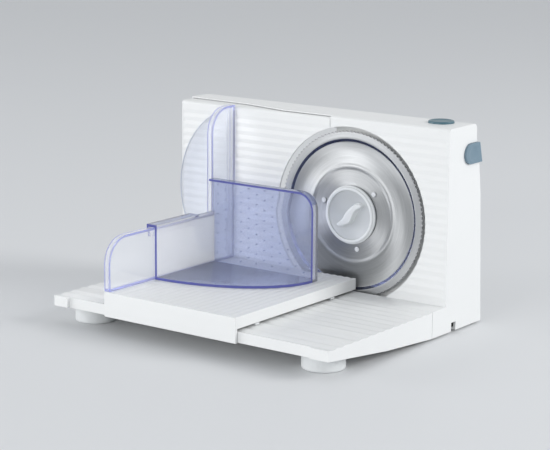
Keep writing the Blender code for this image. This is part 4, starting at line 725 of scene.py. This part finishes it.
def buildSpikes():
    # short pins that hold the food against the pressing plate
    low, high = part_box("food_holder")
    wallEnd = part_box("carriage_wall")[1].x
    sheetFront = high.y
    radius, length = spikes["radius"], spikes["length"]
    root = sheetFront - spikes["rootDepth"]
    profile = [(0, root), (radius, root), (radius, sheetFront),
               (radius * spikes["tipShare"], sheetFront + length * spikes["taperShare"]), (0, sheetFront + length)]
    bm = bmesh.new()
    for column in range(spikes["columns"]):
        x = wallEnd + spikes["firstX"] + column * spikes["pitchX"]
        z = high.z - spikes["topMargin"] - (column % 2) * spikes["pitchZ"] / 2
        if column >= spikes["tallColumns"]:
            z -= round((high.z - low.z) * spikes["lowShare"] / spikes["pitchZ"]) * spikes["pitchZ"]
        while z > low.z + spikes["lowMargin"]:
            addTurned(bm, "Y", (x, z), profile, spikes["sides"])
            z -= spikes["pitchZ"]
    piece = newPiece("holderSpikes", bm, "holder", spikes["sharp"])
    paint(piece, "spike")


buildSpikes()
print("holder pins built")


stage = {"floorReach": 12.0, "floorColour": (0.74, 0.75, 0.76), "floorRoughness": 0.6,
         "backdropColour": (0.78, 0.79, 0.80), "skyColour": (0.93, 0.96, 1.0), "skyLight": 0.60}


def buildStage():
    bm = bmesh.new()
    reach = stage["floorReach"]
    bm.faces.new([bm.verts.new((x, y, 0)) for x, y in
                  ((-reach, -reach), (reach, -reach), (reach, reach), (-reach, reach))])
    floor = addObject("floor", meshFrom("floor", bm))
    material, tree, shader = baseMaterial("paleFloor")
    shader.inputs["Base Color"].default_value = (*stage["floorColour"], 1)
    shader.inputs["Roughness"].default_value = stage["floorRoughness"]
    floor.data.materials.append(material)
    world = bpy.data.worlds.new("softStudio")
    bpy.context.scene.world = world
    world.use_nodes = True
    sky = world.node_tree
    plain = sky.nodes["Background"]
    plain.inputs["Color"].default_value = (*stage["skyColour"], 1)
    plain.inputs["Strength"].default_value = stage["skyLight"]
    seen = sky.nodes.new("ShaderNodeBackground")
    seen.inputs["Color"].default_value = (*stage["backdropColour"], 1)
    seen.inputs["Strength"].default_value = 1.0
    # what the camera sees directly, in metal or through plastic is the pale backdrop
    ways = sky.nodes.new("ShaderNodeLightPath").outputs
    indirect = mathNode(sky, "MAXIMUM", ways["Is Glossy Ray"], ways["Is Transmission Ray"])
    shown = mathNode(sky, "MAXIMUM", ways["Is Camera Ray"], indirect)
    mix = sky.nodes.new("ShaderNodeMixShader")
    for socket, value in zip(mix.inputs, (shown, plain.outputs[0], seen.outputs[0])):
        sky.links.new(value, socket)
    sky.links.new(mix.outputs[0], sky.nodes["World Output"].inputs["Surface"])


lampTarget = (0, 0, 0.08)
lamps = {
    "frontLamp": {"place": (0.1, -3.0, 0.72), "size": 1.2, "power": 24.0},
    "leftLamp": {"place": (-2.55, -1.6, 0.45), "size": 1.4, "power": 34.0},
    "sideLamp": {"place": (2.4, 1.05, 1.35), "size": 1.2, "power": 40.0}}


def buildLamps():
    for name, setting in lamps.items():
        data = bpy.data.lights.new(name, "AREA")
        data.shape = "SQUARE"
        data.size = setting["size"]
        data.energy = setting["power"]
        lamp = addObject(name, data)
        lamp.location = setting["place"]
        lamp.rotation_euler = (Vector(lampTarget) - lamp.location).to_track_quat("-Z", "Y").to_euler()


# solved from the straight edges in the photo; angles in degrees, lens and sensor in millimetres
camera = {"place": (1.0483, -1.4105, 0.4690), "azimuth": 36.507, "elevation": 11.95, "roll": 0.421,
          "lens": 121.86, "sensor": 36.0, "clipEnd": 40.0}


def buildCamera():
    data = bpy.data.cameras.new("photoCamera")
    data.lens = camera["lens"]
    data.sensor_width = camera["sensor"]
    data.clip_end = camera["clipEnd"]
    view = addObject("photoCamera", data)
    a, e, r = (math.radians(camera[k]) for k in ("azimuth", "elevation", "roll"))
    back = Vector((math.sin(a) * math.cos(e), -math.cos(a) * math.cos(e), math.sin(e)))
    right = Vector((math.cos(a), math.sin(a), 0))
    up = back.cross(right)
    side = right * math.cos(r) + up * math.sin(r)
    top = up * math.cos(r) - right * math.sin(r)
    matrix = Matrix((side, top, back)).transposed().to_4x4()
    matrix.translation = Vector(camera["place"])
    view.matrix_world = matrix
    bpy.context.scene.camera = view


buildStage()
buildLamps()
buildCamera()
bpy.context.scene.view_settings.view_transform = "Standard"
print("stage, lamps and camera set")
